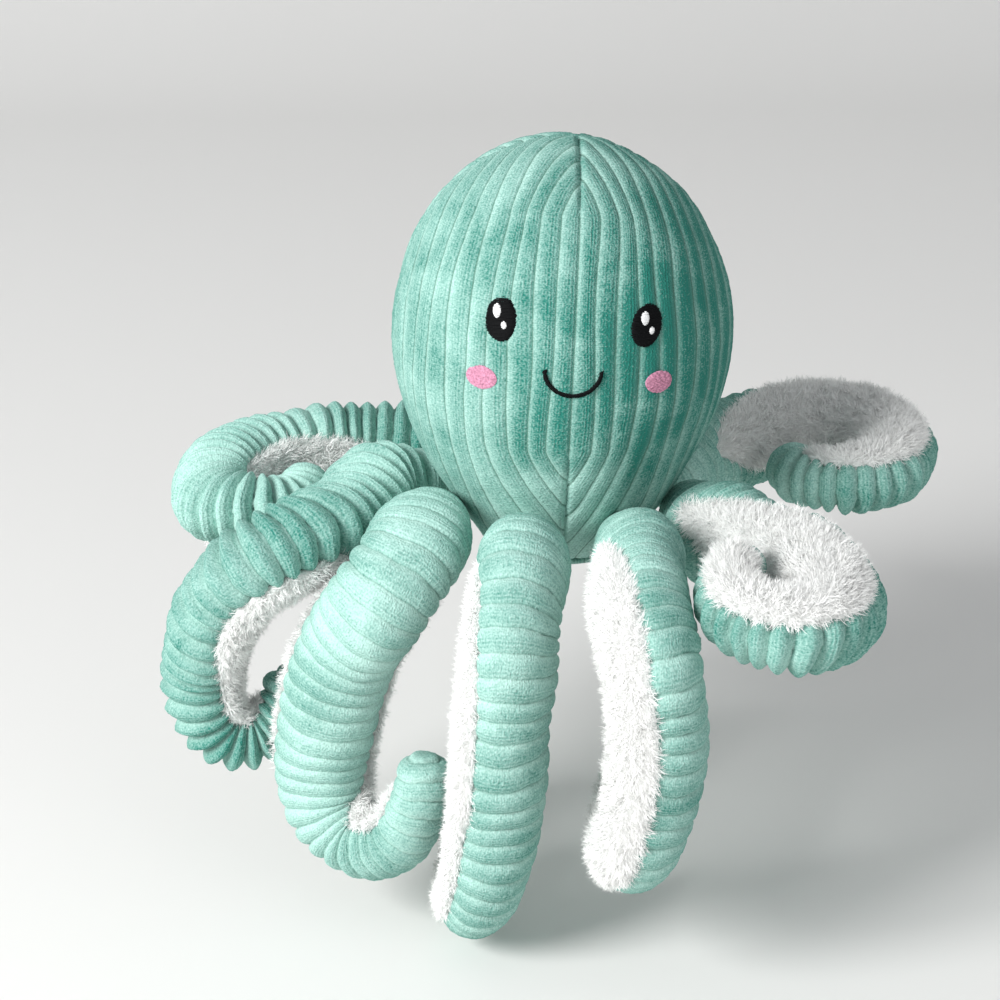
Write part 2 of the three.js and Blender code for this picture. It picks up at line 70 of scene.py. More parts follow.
# Studio: a pale sheet of paper under the toy that curves up behind it, one large soft lamp
# to the left of the camera and an even pale sky.
class Nodes:
    """The nodes of one material or one geometry tree."""

    def __init__(self, tree):
        self.tree = tree
        tree.nodes.clear()

    def node(self, kind, settings=None, sockets=None, out=0):
        """Adds a node: its settings first, then the values or links of its sockets."""
        made = self.tree.nodes.new(kind)
        for key, value in (settings or {}).items():
            setattr(made, key, value)
        for key, value in (sockets or {}).items():
            if isinstance(value, Wire):
                self.tree.links.new(value.socket, made.inputs[key])
            else:
                made.inputs[key].default_value = value
        return Wire(self, made.outputs[out] if len(made.outputs) else None)

    def mix(self, share, first, second):
        """A colour between two others."""
        sockets = {0: share, 6: first, 7: second}
        return self.node("ShaderNodeMix", {"data_type": "RGBA"}, sockets, out=2)


class Wire:
    """A socket's value in a sum."""

    def __init__(self, nodes, socket):
        self.nodes, self.socket = nodes, socket

    def other(self, name):
        return Wire(self.nodes, self.socket.node.outputs[name])

    def math(self, operation, *values):
        return self.nodes.node("ShaderNodeMath", {"operation": operation}, dict(enumerate(values)))

    def __add__(self, value):
        return self.math("ADD", self, value)

    __radd__ = __add__

    def __sub__(self, value):
        return self.math("SUBTRACT", self, value)

    def __rsub__(self, value):
        return self.math("SUBTRACT", value, self)

    def __mul__(self, value):
        return self.math("MULTIPLY", self, value)

    __rmul__ = __mul__

    def step(self, start, end):
        """Smoothly from 0 at start to 1 at end."""
        return self.nodes.node(
            "ShaderNodeMapRange", {"interpolation_type": "SMOOTHSTEP"},
            {0: self, 1: start, 2: end, 3: 0.0, 4: 1.0},
        )


def linear(red, green, blue):
    """A screen colour, 0 to 255, as the shader's own."""
    def one(value):
        value /= 255
        return value / 12.92 if value <= 0.04045 else ((value + 0.055) / 1.055) ** 2.4
    return (one(red), one(green), one(blue), 1.0)


def new_material(name):
    made = bpy.data.materials.new(name)
    made.use_nodes = True
    return made, Nodes(made.node_tree)


def surface(nodes, sockets):
    shader = nodes.node("ShaderNodeBsdfPrincipled", None, sockets)
    nodes.node("ShaderNodeOutputMaterial", None, {0: shader})


def new_object(name, points, edges, faces):
    """An object at the origin from points in millimetres."""
    mesh = bpy.data.meshes.new(name)
    mesh.from_pydata((np.asarray(points) / 1000).tolist(), edges, faces)
    made = bpy.data.objects.new(name, mesh)
    bpy.context.scene.collection.objects.link(made)
    return made


def new_mesh(name, points, faces, material):
    """An object with smooth faces in one material."""
    made = new_object(name, points, [], faces)
    made.data.materials.append(material)
    made.data.shade_smooth()
    return made


FLOOR_HEIGHT, FLOOR_FRONT, PAPER_HALF_WIDTH = -156, -2600, 3200
SWEEP_START, SWEEP_RADIUS, PAPER_TOP = 1500, 700, 3200
paper, nodes = new_material("backdrop paper")
grain = nodes.node("ShaderNodeTexNoise", None, {"Scale": 3.0, "Detail": 2.0})
tone = nodes.mix(grain, linear(232, 231, 228), linear(238, 237, 235))
surface(nodes, {"Base Color": tone, "Roughness": 0.9, "Specular IOR Level": 0.1})
sweep = [(FLOOR_FRONT, 0)] + [
    (SWEEP_START + SWEEP_RADIUS * math.sin(turn), SWEEP_RADIUS * (1 - math.cos(turn)))
    for turn in np.linspace(0, math.pi / 2, 17)
] + [(SWEEP_START + SWEEP_RADIUS, PAPER_TOP)]
points = [
    (x, y, FLOOR_HEIGHT + z) for y, z in sweep for x in (-PAPER_HALF_WIDTH, PAPER_HALF_WIDTH)
]
faces = [(2 * i, 2 * i + 1, 2 * i + 3, 2 * i + 2) for i in range(len(sweep) - 1)]
new_mesh("backdrop", points, faces, paper)

SKY_STRENGTH, WINDOW_WATTS, FILL_WATTS = 0.43, 80, 6
world = bpy.data.worlds.new("pale sky")
bpy.context.scene.world = world
world.use_nodes = True
nodes = Nodes(world.node_tree)
sky = nodes.node(
    "ShaderNodeBackground", None, {"Color": (0.93, 0.96, 1.0, 1.0), "Strength": SKY_STRENGTH},
)
nodes.node("ShaderNodeOutputWorld", None, {0: sky})


def soft_lamp(name, place, aim, size, power):
    light = bpy.data.lights.new(name, "AREA")
    light.shape, light.size, light.energy = "DISK", size, power
    lamp = bpy.data.objects.new(name, light)
    lamp.location = place
    lamp.rotation_euler = (Vector(aim) - Vector(place)).to_track_quat("-Z", "Y").to_euler()
    bpy.context.scene.collection.objects.link(lamp)


soft_lamp("window on the left", (-1.8, -1.35, 1.25), (0, 0, 0), 1.2, WINDOW_WATTS)
soft_lamp("low fill", (1.2, -1.8, 0.5), (0, 0, -0.05), 1.2, FILL_WATTS)
bpy.context.scene.view_settings.view_transform = "Standard"


# Ribbed velour: a knitted cloth whose short pile stands in rounded ribs, paler at their edges,
# with a thin bare groove between them. It is dyed mint, and looks lighter or darker at random
# as its pile is brushed. Painted light and shade are laid on it too: each rib's pale edges are
# partly the pile's own tips and partly a painted highlight, painted shade darkens one side of
# each rib, and each piece carries painted light and shade that make the head and arms lighter
# where light falls and darker where they lie in shade. The cloth's own map counts ribs across
# and rib widths along.
MINT_DARK, MINT_LIGHT = linear(40, 120, 107), linear(186, 224, 214)
RIB_EDGE_AND_HIGHLIGHT, BARE_GROOVE = linear(200, 229, 219), linear(66, 104, 88)
LOOPS_PER_RIB = (7.5, 10.5, 1.0)
SIX_TURNS = 37.7
BRUSHED_SCALE, BRUSHED_CONTRAST = 30.0, 1.15
TUFT_SCALE = 1300.0
MIDDLE_SHADE = 0.635
velour, nodes = new_material("mint ribbed velour")
cloth = nodes.node("ShaderNodeUVMap", {"uv_map": "cloth"})
place = nodes.node("ShaderNodeTexCoord").other("Object")
across = nodes.node("ShaderNodeSeparateXYZ", None, {0: cloth})
phase = across.math("FRACT", across)
off_middle = (phase - 0.5).math("ABSOLUTE", phase - 0.5)
loop_map = nodes.node(
    "ShaderNodeVectorMath", {"operation": "MULTIPLY"}, {0: cloth, 1: LOOPS_PER_RIB},
)
loops = nodes.node("ShaderNodeTexVoronoi", None, {0: loop_map, "Scale": 1.0, "Randomness": 0.5})
brushed = nodes.node(
    "ShaderNodeTexNoise", None,
    {0: place, "Scale": BRUSHED_SCALE, "Detail": 4.0, "Roughness": 0.55, "Distortion": 0.6},
)
tufts = nodes.node("ShaderNodeTexNoise", None, {0: place, "Scale": TUFT_SCALE, "Detail": 0.0})
turns = phase * SIX_TURNS
lines = turns.math("SINE", turns) * phase.step(0.3, 0.6)
# Painted light and shade from each piece: lighter where light falls on the head and arms, darker
# where they lie in shade.
painted_light = nodes.node("ShaderNodeAttribute", {"attribute_name": "nap_and_painted_light"}).other("Fac")
bare = nodes.node("ShaderNodeAttribute", {"attribute_name": "bare"}).other("Fac")
grain = (tufts - 0.5) * 0.6 + (0.42 - loops) * 0.42 + lines * 0.07
# Painted light and shade across each rib: lighter on the side that faces the light, darker on the
# other.
painted_lit_side = (0.45 - phase.step(0.15, 0.6)) * 0.15
shade = (brushed - 0.5) * BRUSHED_CONTRAST + grain + painted_lit_side + painted_light + MIDDLE_SHADE
mint = nodes.mix(shade, MINT_DARK, MINT_LIGHT)
# Pale edges of the pile beside each groove, partly the pile's own colour and partly a painted
# highlight that is stronger on each rib's lit side.
mint = nodes.mix(off_middle.step(0.2, 0.44) * (0.2 - phase.step(0.4, 0.6) * 0.12), mint, RIB_EDGE_AND_HIGHLIGHT)
mint = nodes.mix(off_middle.step(0.445, 0.485) * bare, mint, BARE_GROOVE)
nap_and_painted_light = nodes.node("ShaderNodeBump", None, {
    "Strength": 0.6, "Distance": 0.0008, "Height": tufts * 0.7 + loops * -0.6 + lines * 0.15,
})
surface(nodes, {
    "Base Color": mint, "Roughness": 1.0, "Specular IOR Level": 0.05, "Normal": nap_and_painted_light,
    "Sheen Weight": 0.15, "Sheen Roughness": 0.6, "Sheen Tint": linear(190, 235, 223),
})


# Head: an egg of two velour panels, stuffed hard. The side seam runs just behind the crown,
# and both panels are taken in by a dart at the top and another at the bottom of the middle,
# so that the upright ribs run into each other there.
HEAD_HEIGHT = 181
HEAD_RADIUS = 73
HEAD_WIDEST_HEIGHT = 97
NECK_RADIUS = 32
FLARE = 0.64
LEAN, LEAN_START = 7, 45
SIDE_SEAM_BACK = 6
FACE_MIDDLE = -2
BASE_TOP = 2.6
HEAD_RIB = 8.8
RIB_SPREAD = 0.12
HEAD_RIB_RISE = 1.15
TOP_DART_TIP, TOP_DART_RIBS = 159.6, 3.3
BOTTOM_DART_TIP, BOTTOM_DART_SLOPE, BOTTOM_GATHER_RIBS = 66, 0.5, 2.5
DART_SHARES = {-1: 1.12, 1: 0.92}
GATHER_TOP, GATHER_BOTTOM = 110, 88
TOP_REACH, BOTTOM_REACH = 30, 32
HALF_SEAM_GAP, STUFFED_OUT, TURNED_IN = 0.175, 0.6, 1.5
SEAM_SINK, SEAM_SINK_WIDTH = 1.9, 2.1
DART_SINK, DART_SINK_WIDTH = 1.3, 1.3
HEAD_DENT, HEAD_DENT_SIZE = 0.55, 46
UNEVEN_PILE = 0.08
HEAD_BARE = 0.6
JOIN_WITHIN = 0.02
COLUMNS_PER_RIB = 11


def smooth(value, start=0.0, end=1.0):
    share = np.clip((np.asarray(value, float) - start) / (end - start), 0, 1)
    return share * share * (3 - 2 * share)


def head_radius(height):
    """The upright head's radius: a bell up to the widest height and half an egg above it."""
    height = np.asarray(height, float)
    climb = (height - HEAD_WIDEST_HEIGHT) / (HEAD_HEIGHT - HEAD_WIDEST_HEIGHT)
    above = HEAD_RADIUS * np.sqrt(np.clip(1 - climb ** 2, 0, 1))
    flare = smooth(np.clip(height / HEAD_WIDEST_HEIGHT, 0, 1) ** FLARE)
    below = NECK_RADIUS + (HEAD_RADIUS - NECK_RADIUS) * flare
    return np.where(height >= HEAD_WIDEST_HEIGHT, above, below)


def spun(radius, azimuth, height, way=1):
    """Points round the head's upright axis, from its front, or from its back where way is -1."""
    x, y = radius * np.sin(azimuth), -way * radius * np.cos(azimuth)
    return np.stack([x, y, np.broadcast_to(height, np.shape(x))], -1)


def leaned(points):
    """Bends the upright head, so that its crown leans to the toy's left."""
    x, y, z = np.moveaxis(np.asarray(points, float), -1, 0)
    span = HEAD_HEIGHT - LEAN_START
    rise = np.clip((z - LEAN_START) / span, 0, None)
    return np.stack([x + LEAN * rise ** 2, y, z - x * 2 * LEAN * rise / span], -1)


def dents(points, seed, size):
    """Soft unevenness of stuffed cloth, about -1 to 1."""
    draw = np.random.default_rng(seed)
    total = np.zeros(points.shape[:-1])
    for _ in range(9):
        way = draw.normal(size=3)
        way /= np.linalg.norm(way)
        wave = size * draw.uniform(0.7, 1.5)
        total += np.sin(points @ way * 2 * math.pi / wave + draw.uniform(0, 6.3))
    return total / 4.5


def rib_height(ribs, fullness=2.2, edge=0.5):
    """Rise of the pile over the groove, 0 to 1, from the place across the cloth in ribs."""
    off_middle = 2 * np.abs(ribs - np.floor(ribs) - 0.5)
    return np.clip(1 - off_middle ** fullness, 0, 1) ** edge


def cloth_map(made, values, nap_and_painted_light, bare):
    """Gives each point its place on the cloth, its painted light and shade, and how bare the
    grooves are.
    """
    layer = made.data.uv_layers.new(name="cloth")
    corners = np.zeros(len(made.data.loops), np.int32)
    made.data.loops.foreach_get("vertex_index", corners)
    layer.data.foreach_set("uv", np.asarray(values, np.float32)[corners].ravel())
    for name, value in (("nap_and_painted_light", nap_and_painted_light), ("bare", bare)):
        layer = made.data.attributes.new(name, "FLOAT", "POINT")
        layer.data.foreach_set("value", np.broadcast_to(value, len(values)).astype(np.float32))


def clean(made, reach):
    """Joins points that meet, drops edges left without a face, and turns the faces outwards."""
    form = bmesh.new()
    form.from_mesh(made.data)
    bmesh.ops.remove_doubles(form, verts=form.verts, dist=reach / 1000)
    bmesh.ops.dissolve_degenerate(form, edges=form.edges, dist=reach / 1000)
    loose = [edge for edge in form.edges if not edge.link_faces]
    bmesh.ops.delete(form, geom=loose, context="EDGES")
    bmesh.ops.recalc_face_normals(form, faces=form.faces)
    form.to_mesh(made.data)
    form.free()


def quads(first, second, third, fourth):
    """Faces from four grids of point numbers."""
    return np.stack([first, second, third, fourth], -1).reshape(-1, 4).tolist()


def head_rows():
    """Heights, radii, outward directions and lengths along the profile, base to crown."""
    low = np.linspace(BASE_TOP + 0.4, HEAD_WIDEST_HEIGHT, 84)
    high = np.sin(np.linspace(0, math.pi / 2, 96)[1:])
    height = np.concatenate([low, HEAD_WIDEST_HEIGHT + (HEAD_HEIGHT - HEAD_WIDEST_HEIGHT) * high])
    radius = head_radius(height)
    radius[-1] = 0
    rise, run = np.gradient(radius), np.gradient(height)
    size = np.hypot(rise, run)
    outward, upward = run / size, -rise / size
    outward[-1], upward[-1] = 0, 1
    along = np.concatenate([[0], np.cumsum(np.hypot(np.diff(radius), np.diff(height)))])
    return height, radius, outward, upward, along


def dart_intake(height, along):
    """How much of a half panel is taken in at each row, beside the middle and far off."""
    tip, crown = np.interp(TOP_DART_TIP, height, along), along[-1]
    share = np.clip((along - tip) / (crown - tip), 0, 1)
    near = TOP_DART_RIBS * HEAD_RIB * share ** 1.2
    start = np.interp(GATHER_TOP, height, along)
    far = TOP_DART_RIBS * HEAD_RIB * np.clip((along - start) / (crown - start), 0, 1) ** 1.4
    below = np.clip(np.interp(BOTTOM_DART_TIP, height, along) - along, 0, None)
    near += BOTTOM_DART_SLOPE * below ** 2 / (below + 3)
    start = np.interp(GATHER_BOTTOM, height, along)
    far += BOTTOM_GATHER_RIBS * HEAD_RIB * np.clip((start - along) / start, 0, 1) ** 1.4
    return near, far


def ribs_at(cloth):
    """Ribs counted from the middle: they are stretched wider towards the sides."""
    return cloth / (HEAD_RIB * (1 + RIB_SPREAD * cloth / HEAD_RADIUS))


def cloth_at(ribs):
    return ribs * HEAD_RIB / (1 - ribs * HEAD_RIB * RIB_SPREAD / HEAD_RADIUS)


def head_panel(name, front):
    """One panel as a closed shell, in rows up the head and columns along the ribs."""
    way = 1 if front else -1
    height, radius, outward, upward, along = head_rows()
    seam = SIDE_SEAM_BACK - way * HALF_SEAM_GAP
    turn = np.arcsin(np.clip(seam / np.maximum(radius, 1e-6), -1, 1))
    reach = math.pi / 2 + way * turn
    intake, gather = dart_intake(height, along)
    middle = way * FACE_MIDDLE * radius / HEAD_RADIUS * smooth(radius, 6.3, 12)
    half = {side: np.maximum(reach * radius - side * middle, 0) for side in (-1, 1)}
    count = int(math.ceil(ribs_at(half[-1].max() + 2 * HEAD_RIB) * COLUMNS_PER_RIB)) + 1
    steps = np.arange(-count, count + 1)
    side = np.where(steps < 0, -1, 1)
    wanted = cloth_at(np.abs(steps) / COLUMNS_PER_RIB)
    edge = np.where(side < 0, half[-1][:, None], half[1][:, None])
    place, cloth = np.zeros(edge.shape), np.zeros(edge.shape)
    fading = np.where(height > HEAD_WIDEST_HEIGHT, TOP_REACH, BOTTOM_REACH)
    for row in range(len(height)):
        for half_panel in (-1, 1):
            out = np.linspace(0, half[half_panel][row], 200)
            near = DART_SHARES[half_panel] * intake[row] - gather[row]
            held = out + gather[row] + near * np.exp(-(out / fading[row]) ** 2)
            mine = side == half_panel
            place[row, mine] = half_panel * np.interp(wanted[mine], held, out)
            cloth[row, mine] = np.clip(wanted[mine], held[0], held[-1])
    azimuth = (place + middle[:, None]) / np.maximum(radius, 1e-6)[:, None]
    azimuth = np.where(radius[:, None] < 1e-3, 0, azimuth)
    from_middle, from_seam = np.abs(place), edge - np.abs(place)
    waver = 0.08 * np.sin(along[:, None] / 23 + cloth / HEAD_RIB * 1.7)
    waver += 0.05 * np.sin(along[:, None] / 11 + 2.1 * side)
    ribs = ribs_at(cloth) + waver * smooth(from_middle, 0, 5)
    rise = HEAD_RIB_RISE * (rib_height(ribs) * smooth(from_middle, 0, 1) - 1) + STUFFED_OUT
    loose = smooth(np.minimum(from_middle, from_seam), 0.5, 3) * smooth(radius, 3, 12)[:, None]
    rise += UNEVEN_PILE * loose * np.random.default_rng(3 + front).normal(size=rise.shape)
    rise -= SEAM_SINK * np.exp(-(from_seam / SEAM_SINK_WIDTH) ** 2) * smooth(radius, 4, 20)[:, None]
    rise -= DART_SINK * np.exp(-(place / DART_SINK_WIDTH) ** 2) * smooth(intake, 0.5, 6)[:, None]
    normal = spun(outward[:, None], azimuth, upward[:, None], way)
    at = spun(radius[:, None], azimuth, height[:, None], way)
    rise += HEAD_DENT * dents(at, 5, HEAD_DENT_SIZE)
    rise[0] = -TURNED_IN
    at = at + normal * rise[..., None]
    at[..., 1] = (np.minimum if front else np.maximum)(at[..., 1], seam)
    number = np.arange(azimuth.size).reshape(azimuth.shape)
    faces = quads(number[:-1, :-1], number[:-1, 1:], number[1:, 1:], number[1:, :-1])
    faces += quads(number[:-1, -1], number[:-1, 0], number[1:, 0], number[1:, -1])
    faces += [number[0].tolist()]
    made = new_mesh(name, leaned(at).reshape(-1, 3), faces, velour)
    x, z = at[..., 0], at[..., 2]
    # Painted light and shade: darker towards the toy's left side, which is turned from the light,
    # and lighter at the crown and low on the front.
    low = 1 - smooth(z, 25, 80)
    nap_and_painted_light = -0.18 - 0.36 * smooth(x, -52, 40) + 0.14 * smooth(z, 130, 178)
    nap_and_painted_light += low * (0.05 + 0.21 * smooth(x, -45, -15) + 0.3 * np.exp(-((x + 4) / 24) ** 2))
    up_cloth = np.broadcast_to((along / HEAD_RIB)[:, None], cloth.shape)
    cloth_map(made, np.stack([side * ribs, up_cloth], -1).reshape(-1, 2), nap_and_painted_light.ravel(), HEAD_BARE)
    clean(made, JOIN_WITHIN)
    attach(made, "head")
    return made


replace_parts(head_panel("sewn_head_front", True), "head_front_panel", "head_filling")
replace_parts(head_panel("sewn_head_back", False), "head_back_panel")


# Base: a round patch of the same velour, sewn to the lower edges of both head panels to close
# the head underneath. Its ribs run straight across it, and its rim is turned in at the seam.
BASE_RIM, BASE_RIB_RISE = 30.5, 0.8
rim_radii = [31, 31.9, 32.3, 32.5, 32.3, 31.9, BASE_RIM, 0]
rim_lifts = [0.05, 0.35, 0.8, 1.3, 1.8, 2.2, 2.55, BASE_TOP]
base_rings = np.concatenate([np.linspace(0, 30, 36), rim_radii])
base_lift = np.concatenate([np.zeros(36), rim_lifts])
turns = np.linspace(0, 2 * math.pi, 96, endpoint=False)
ring, turn = np.meshgrid(base_rings, turns, indexing="ij")
x, y = ring * np.cos(turn), ring * np.sin(turn)
under = smooth(BASE_RIM - ring, 0, 2) * (base_lift[:, None] < 0.3)
z = base_lift[:, None] + under * BASE_RIB_RISE * (1 - rib_height(x / HEAD_RIB))
number = np.arange(ring.size).reshape(ring.shape)
after = np.roll(number, -1, axis=1)
faces = quads(number[:-1], number[1:], after[1:], after[:-1])
base = new_mesh("sewn_base", np.stack([x, y, z], -1).reshape(-1, 3), faces, velour)
cloth_map(base, np.stack([x / HEAD_RIB, y / HEAD_RIB], -1).reshape(-1, 2), 0.0, 0.5)
clean(base, JOIN_WITHIN)
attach(base, "head")
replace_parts(base, "head_base_disc")


# Face: embroidered through the velour before the head was stuffed. Each patch is a low pad
# of filling stitches under rows of shiny thread that lie side by side.
THREAD_RADIUS, THREAD_SIDES = 0.3, 6
SLOPE_STEP = 2.4
PAD_ANCHOR = 0.8
UNEVEN_ENDS, THREAD_LIFT, STITCH_DIP = 0.07, 0.12, 0.45


def thread_material(name, colour, sheen, fleck=0.22):
    made, nodes = new_material(name)
    place = nodes.node("ShaderNodeTexCoord").other("Object")
    twist = nodes.node("ShaderNodeTexNoise", None, {0: place, "Scale": 1100.0, "Detail": 1.0})
    light = tuple(min(1, value * (1 + fleck) + 0.003) for value in colour[:3]) + (1.0,)
    dark = tuple(value * (1 - fleck) for value in colour[:3]) + (1.0,)
    bump = nodes.node("ShaderNodeBump", None, {
        "Strength": 0.4, "Distance": 0.0002, "Height": twist,
    })
    surface(nodes, {
        "Base Color": nodes.mix(twist, dark, light), "Roughness": 0.6,
        "Specular IOR Level": 0.12, "Normal": bump, "Sheen Weight": sheen, "Sheen Roughness": 0.3,
    })
    return made


black_thread = thread_material("black thread", linear(5, 6, 8), 0.0)
pink_thread = thread_material("pink thread", linear(232, 143, 168), 0.1, 0.75)
white_thread = thread_material("white thread", linear(240, 241, 240), 0.15)


def new_tree(name, *inputs):
    """A geometry tree with its nodes and inputs, from their names, types and values."""
    tree = bpy.data.node_groups.new(name, "GeometryNodeTree")
    for label, kind, *value in inputs:
        made = tree.interface.new_socket(label, in_out="INPUT", socket_type="NodeSocket" + kind)
        if value:
            made.default_value = value[0]
    tree.interface.new_socket("Result", in_out="OUTPUT", socket_type="NodeSocketGeometry")
    nodes = Nodes(tree)
    return tree, nodes, nodes.node("NodeGroupInput")


def painted(nodes, geometry, material):
    """Makes instances real, in one material."""
    solid = nodes.node("GeometryNodeRealizeInstances", None, {0: geometry})
    return nodes.node("GeometryNodeSetMaterial", None, {0: solid, "Material": material})


def carried(nodes, name, kind):
    """The values of an attribute that a mesh carries."""
    return nodes.node("GeometryNodeInputNamedAttribute", {"data_type": kind}, {"Name": name})


def laid_thread_tree():
    """Rows of thread along the edges of a mesh, joined to the pad beneath them."""
    tree, nodes, given = new_tree(
        "laid thread", ("Rows and pad", "Geometry"),
        ("Thread radius", "Float", THREAD_RADIUS / 1000), ("Thread", "Material"),
    )
    is_row = carried(nodes, "row", "BOOLEAN")
    split = nodes.node("GeometryNodeSeparateGeometry", {"domain": "POINT"}, {0: given, 1: is_row})
    rows = nodes.node("GeometryNodeMeshToCurve", None, {0: split})
    round_thread = nodes.node("GeometryNodeCurvePrimitiveCircle", None, {
        "Resolution": THREAD_SIDES, "Radius": given.other("Thread radius"),
    })
    threads = nodes.node("GeometryNodeCurveToMesh", None, {
        "Curve": rows, "Profile Curve": round_thread, "Fill Caps": True,
    })
    both = nodes.node("GeometryNodeJoinGeometry", None, {0: threads})
    tree.links.new(split.other("Inverted").socket, both.socket.node.inputs[0])
    nodes.node("NodeGroupOutput", None, {0: painted(nodes, both, given.other("Thread"))})
    return tree


laid_thread = laid_thread_tree()


def bake_nodes(made, tree, values):
    """Runs a geometry tree on an object and keeps the result as its plain mesh."""
    modifier = made.modifiers.new("maker", "NODES")
    modifier.node_group = tree
    for item in tree.interface.items_tree:
        if item.item_type == "SOCKET" and item.in_out == "INPUT" and item.name in values:
            modifier[item.identifier] = values[item.name]
    made.update_tag()
    bpy.context.view_layer.update()
    graph = bpy.context.evaluated_depsgraph_get()
    mesh = bpy.data.meshes.new_from_object(made.evaluated_get(graph))
    made.modifiers.remove(modifier)
    made.data = mesh
    mesh.shade_smooth()


def on_head(across, height, lift):
    """Places lifted off the head, by their distance round from its middle and their height."""
    given = (np.asarray(value, float) for value in (across, height, lift))
    across, height, lift = np.broadcast_arrays(*given)
    radius = head_radius(height)
    rise = head_radius(height + SLOPE_STEP) - head_radius(height - SLOPE_STEP)
    size = np.hypot(2 * SLOPE_STEP, rise)
    azimuth = across / radius
    reach = radius + lift * 2 * SLOPE_STEP / size
    return leaned(spun(reach, azimuth, height - lift * rise / size))


def stitched(name, pad, rows, material, node, radius=THREAD_RADIUS):
    """A pad mesh of (points, faces) with rows of thread, as one piece that stands for a node."""
    points, faces = list(pad[0]), list(pad[1])
    edges = []
    start = len(points)
    for row in rows:
        edges += [(len(points) + i, len(points) + i + 1) for i in range(len(row) - 1)]
        points += list(row)
    made = new_object(name, points, edges, faces)
    mark = made.data.attributes.new("row", "BOOLEAN", "POINT")
    mark.data.foreach_set("value", np.arange(len(points)) >= start)
    bake_nodes(made, laid_thread, {"Thread radius": radius / 1000, "Thread": material})
    clean(made, 0.001)
    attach(made, "head")
    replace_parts(made, node)
    return made


def tube_faces(rings, count):
    """Faces of a closed tube, ring after ring, with a cap at each end."""
    number = np.arange(rings * count).reshape(rings, count)
    after = np.roll(number, -1, axis=1)
    faces = quads(number[:-1], after[:-1], after[1:], number[1:])
    return faces + [number[0][::-1].tolist(), number[-1].tolist()]


def oval_pad(across, height, half_width, half_height, base, crown):
    """A closed low dome over an oval of the head."""
    points = []
    turns = np.linspace(0, 2 * math.pi, 40, endpoint=False)
    shares = [1.0, 1.0, 0.93, 0.8, 0.6, 0.35]
    lifts = [base - PAD_ANCHOR] + [base + crown * (1 - share ** 2) ** 0.5 for share in shares[1:]]
    for share, lift in zip(shares, lifts):
        x, z = half_width * share * np.cos(turns), half_height * share * np.sin(turns)
        points += list(on_head(across + x, height + z, lift))
    return points, tube_faces(len(shares), len(turns))


def rows_up(half_height, pitch, reach):
    """Heights of the rows of an oval, as shares of its half height."""
    count = int(2 * half_height / pitch)
    return [(i / count * 2 - 1) * reach for i in range(count + 1)]


def satin_rows(across, height, half_width, half_height, base, crown, pitch, slant, seed):
    """Side by side stitches right across an oval, their ends a little uneven."""
    draw = np.random.default_rng(seed)
    rows = []
    for up in rows_up(half_height, pitch, 0.985):
        reach = math.sqrt(1 - up ** 2)
        left, right = -reach - draw.uniform(0, UNEVEN_ENDS), reach + draw.uniform(0, UNEVEN_ENDS)
        share = np.linspace(left, right, 13)
        dome = np.sqrt(np.clip(1 - share ** 2 - up ** 2, 0, 1))
        lift = base + crown * dome + THREAD_LIFT + draw.uniform(-0.05, 0.05)
        lift[[0, -1]] -= STITCH_DIP
        rise = height + half_height * up + slant * half_width * share + draw.uniform(-0.08, 0.08)
        rows.append(on_head(across + half_width * share, rise, lift))
    return rows


def scattered_rows(across, height, half_width, half_height, base, crown, pitch, seed):
    """Short stitches laid end to end in rows, each dipping where its thread goes down."""
    draw = np.random.default_rng(seed)
    rows = []
    for up in rows_up(half_height, pitch, 0.98):
        reach = math.sqrt(1 - up ** 2)
        spots = np.linspace(-reach, reach, max(3, int(reach * half_width * 2 / 0.5)))
        dips = 0.14 * np.sin(spots * half_width * 2.6 + draw.uniform(0, 6.3))
        dome = np.sqrt(np.clip(1 - spots ** 2 - up ** 2, 0, 1))
        sway = 0.07 * np.sin(spots * half_width * 4.1 + draw.uniform(0, 6.3))
        lift = base + crown * dome + dips + 0.1
        rows.append(on_head(across + half_width * spots, height + half_height * up + sway, lift))
    return rows


# Each patch: half its width and height, the lift of its rim and the rise of its crown.
EYE_ASIDE, EYE_HEIGHT = {"right": -30.6, "left": 30.6}, 120
EYE_PAD, EYE_STITCHES, EYE_PITCH = (6.7, 8.2, 0.35, 0.75), (6.9, 8.4, 0.35, 0.85), 0.5
GLINTS = {"big": (-1.6, 3, 1.7, 2.5), "small": (1.6, -2, 1.1, 1.3)}
GLINT_PAD_SHARE, GLINT_PITCH, GLINT_THREAD = 0.85, 0.42, 0.26
CHEEKS, CHEEK_HEIGHT = {"right": (-38.4, 6.9), "left": (37.6, 6.2)}, 95.6
CHEEK_PITCH, CHEEK_THREAD = 0.4, 0.25
for side, aside in EYE_ASIDE.items():
    across = aside + FACE_MIDDLE
    pad = oval_pad(across, EYE_HEIGHT, *EYE_PAD)
    rows = satin_rows(across, EYE_HEIGHT, *EYE_STITCHES, EYE_PITCH, 0.1, 11)
    eye = stitched(f"stitched_eye_{side}", pad, rows, black_thread, f"eye_{side}")
    for size, (right, up, wide, tall) in GLINTS.items():
        x, z, share = across + right, EYE_HEIGHT + up, GLINT_PAD_SHARE
        pad = oval_pad(x, z, wide * share, tall * share, 1.25, 0.45)
        rows = satin_rows(x, z, wide, tall, 1.3, 0.4, GLINT_PITCH, 0.0, 13)
        name, node = f"stitched_glint_{size}_{side}", f"eye_glint_{size}_{side}"
        glint = stitched(name, pad, rows, white_thread, node, GLINT_THREAD)

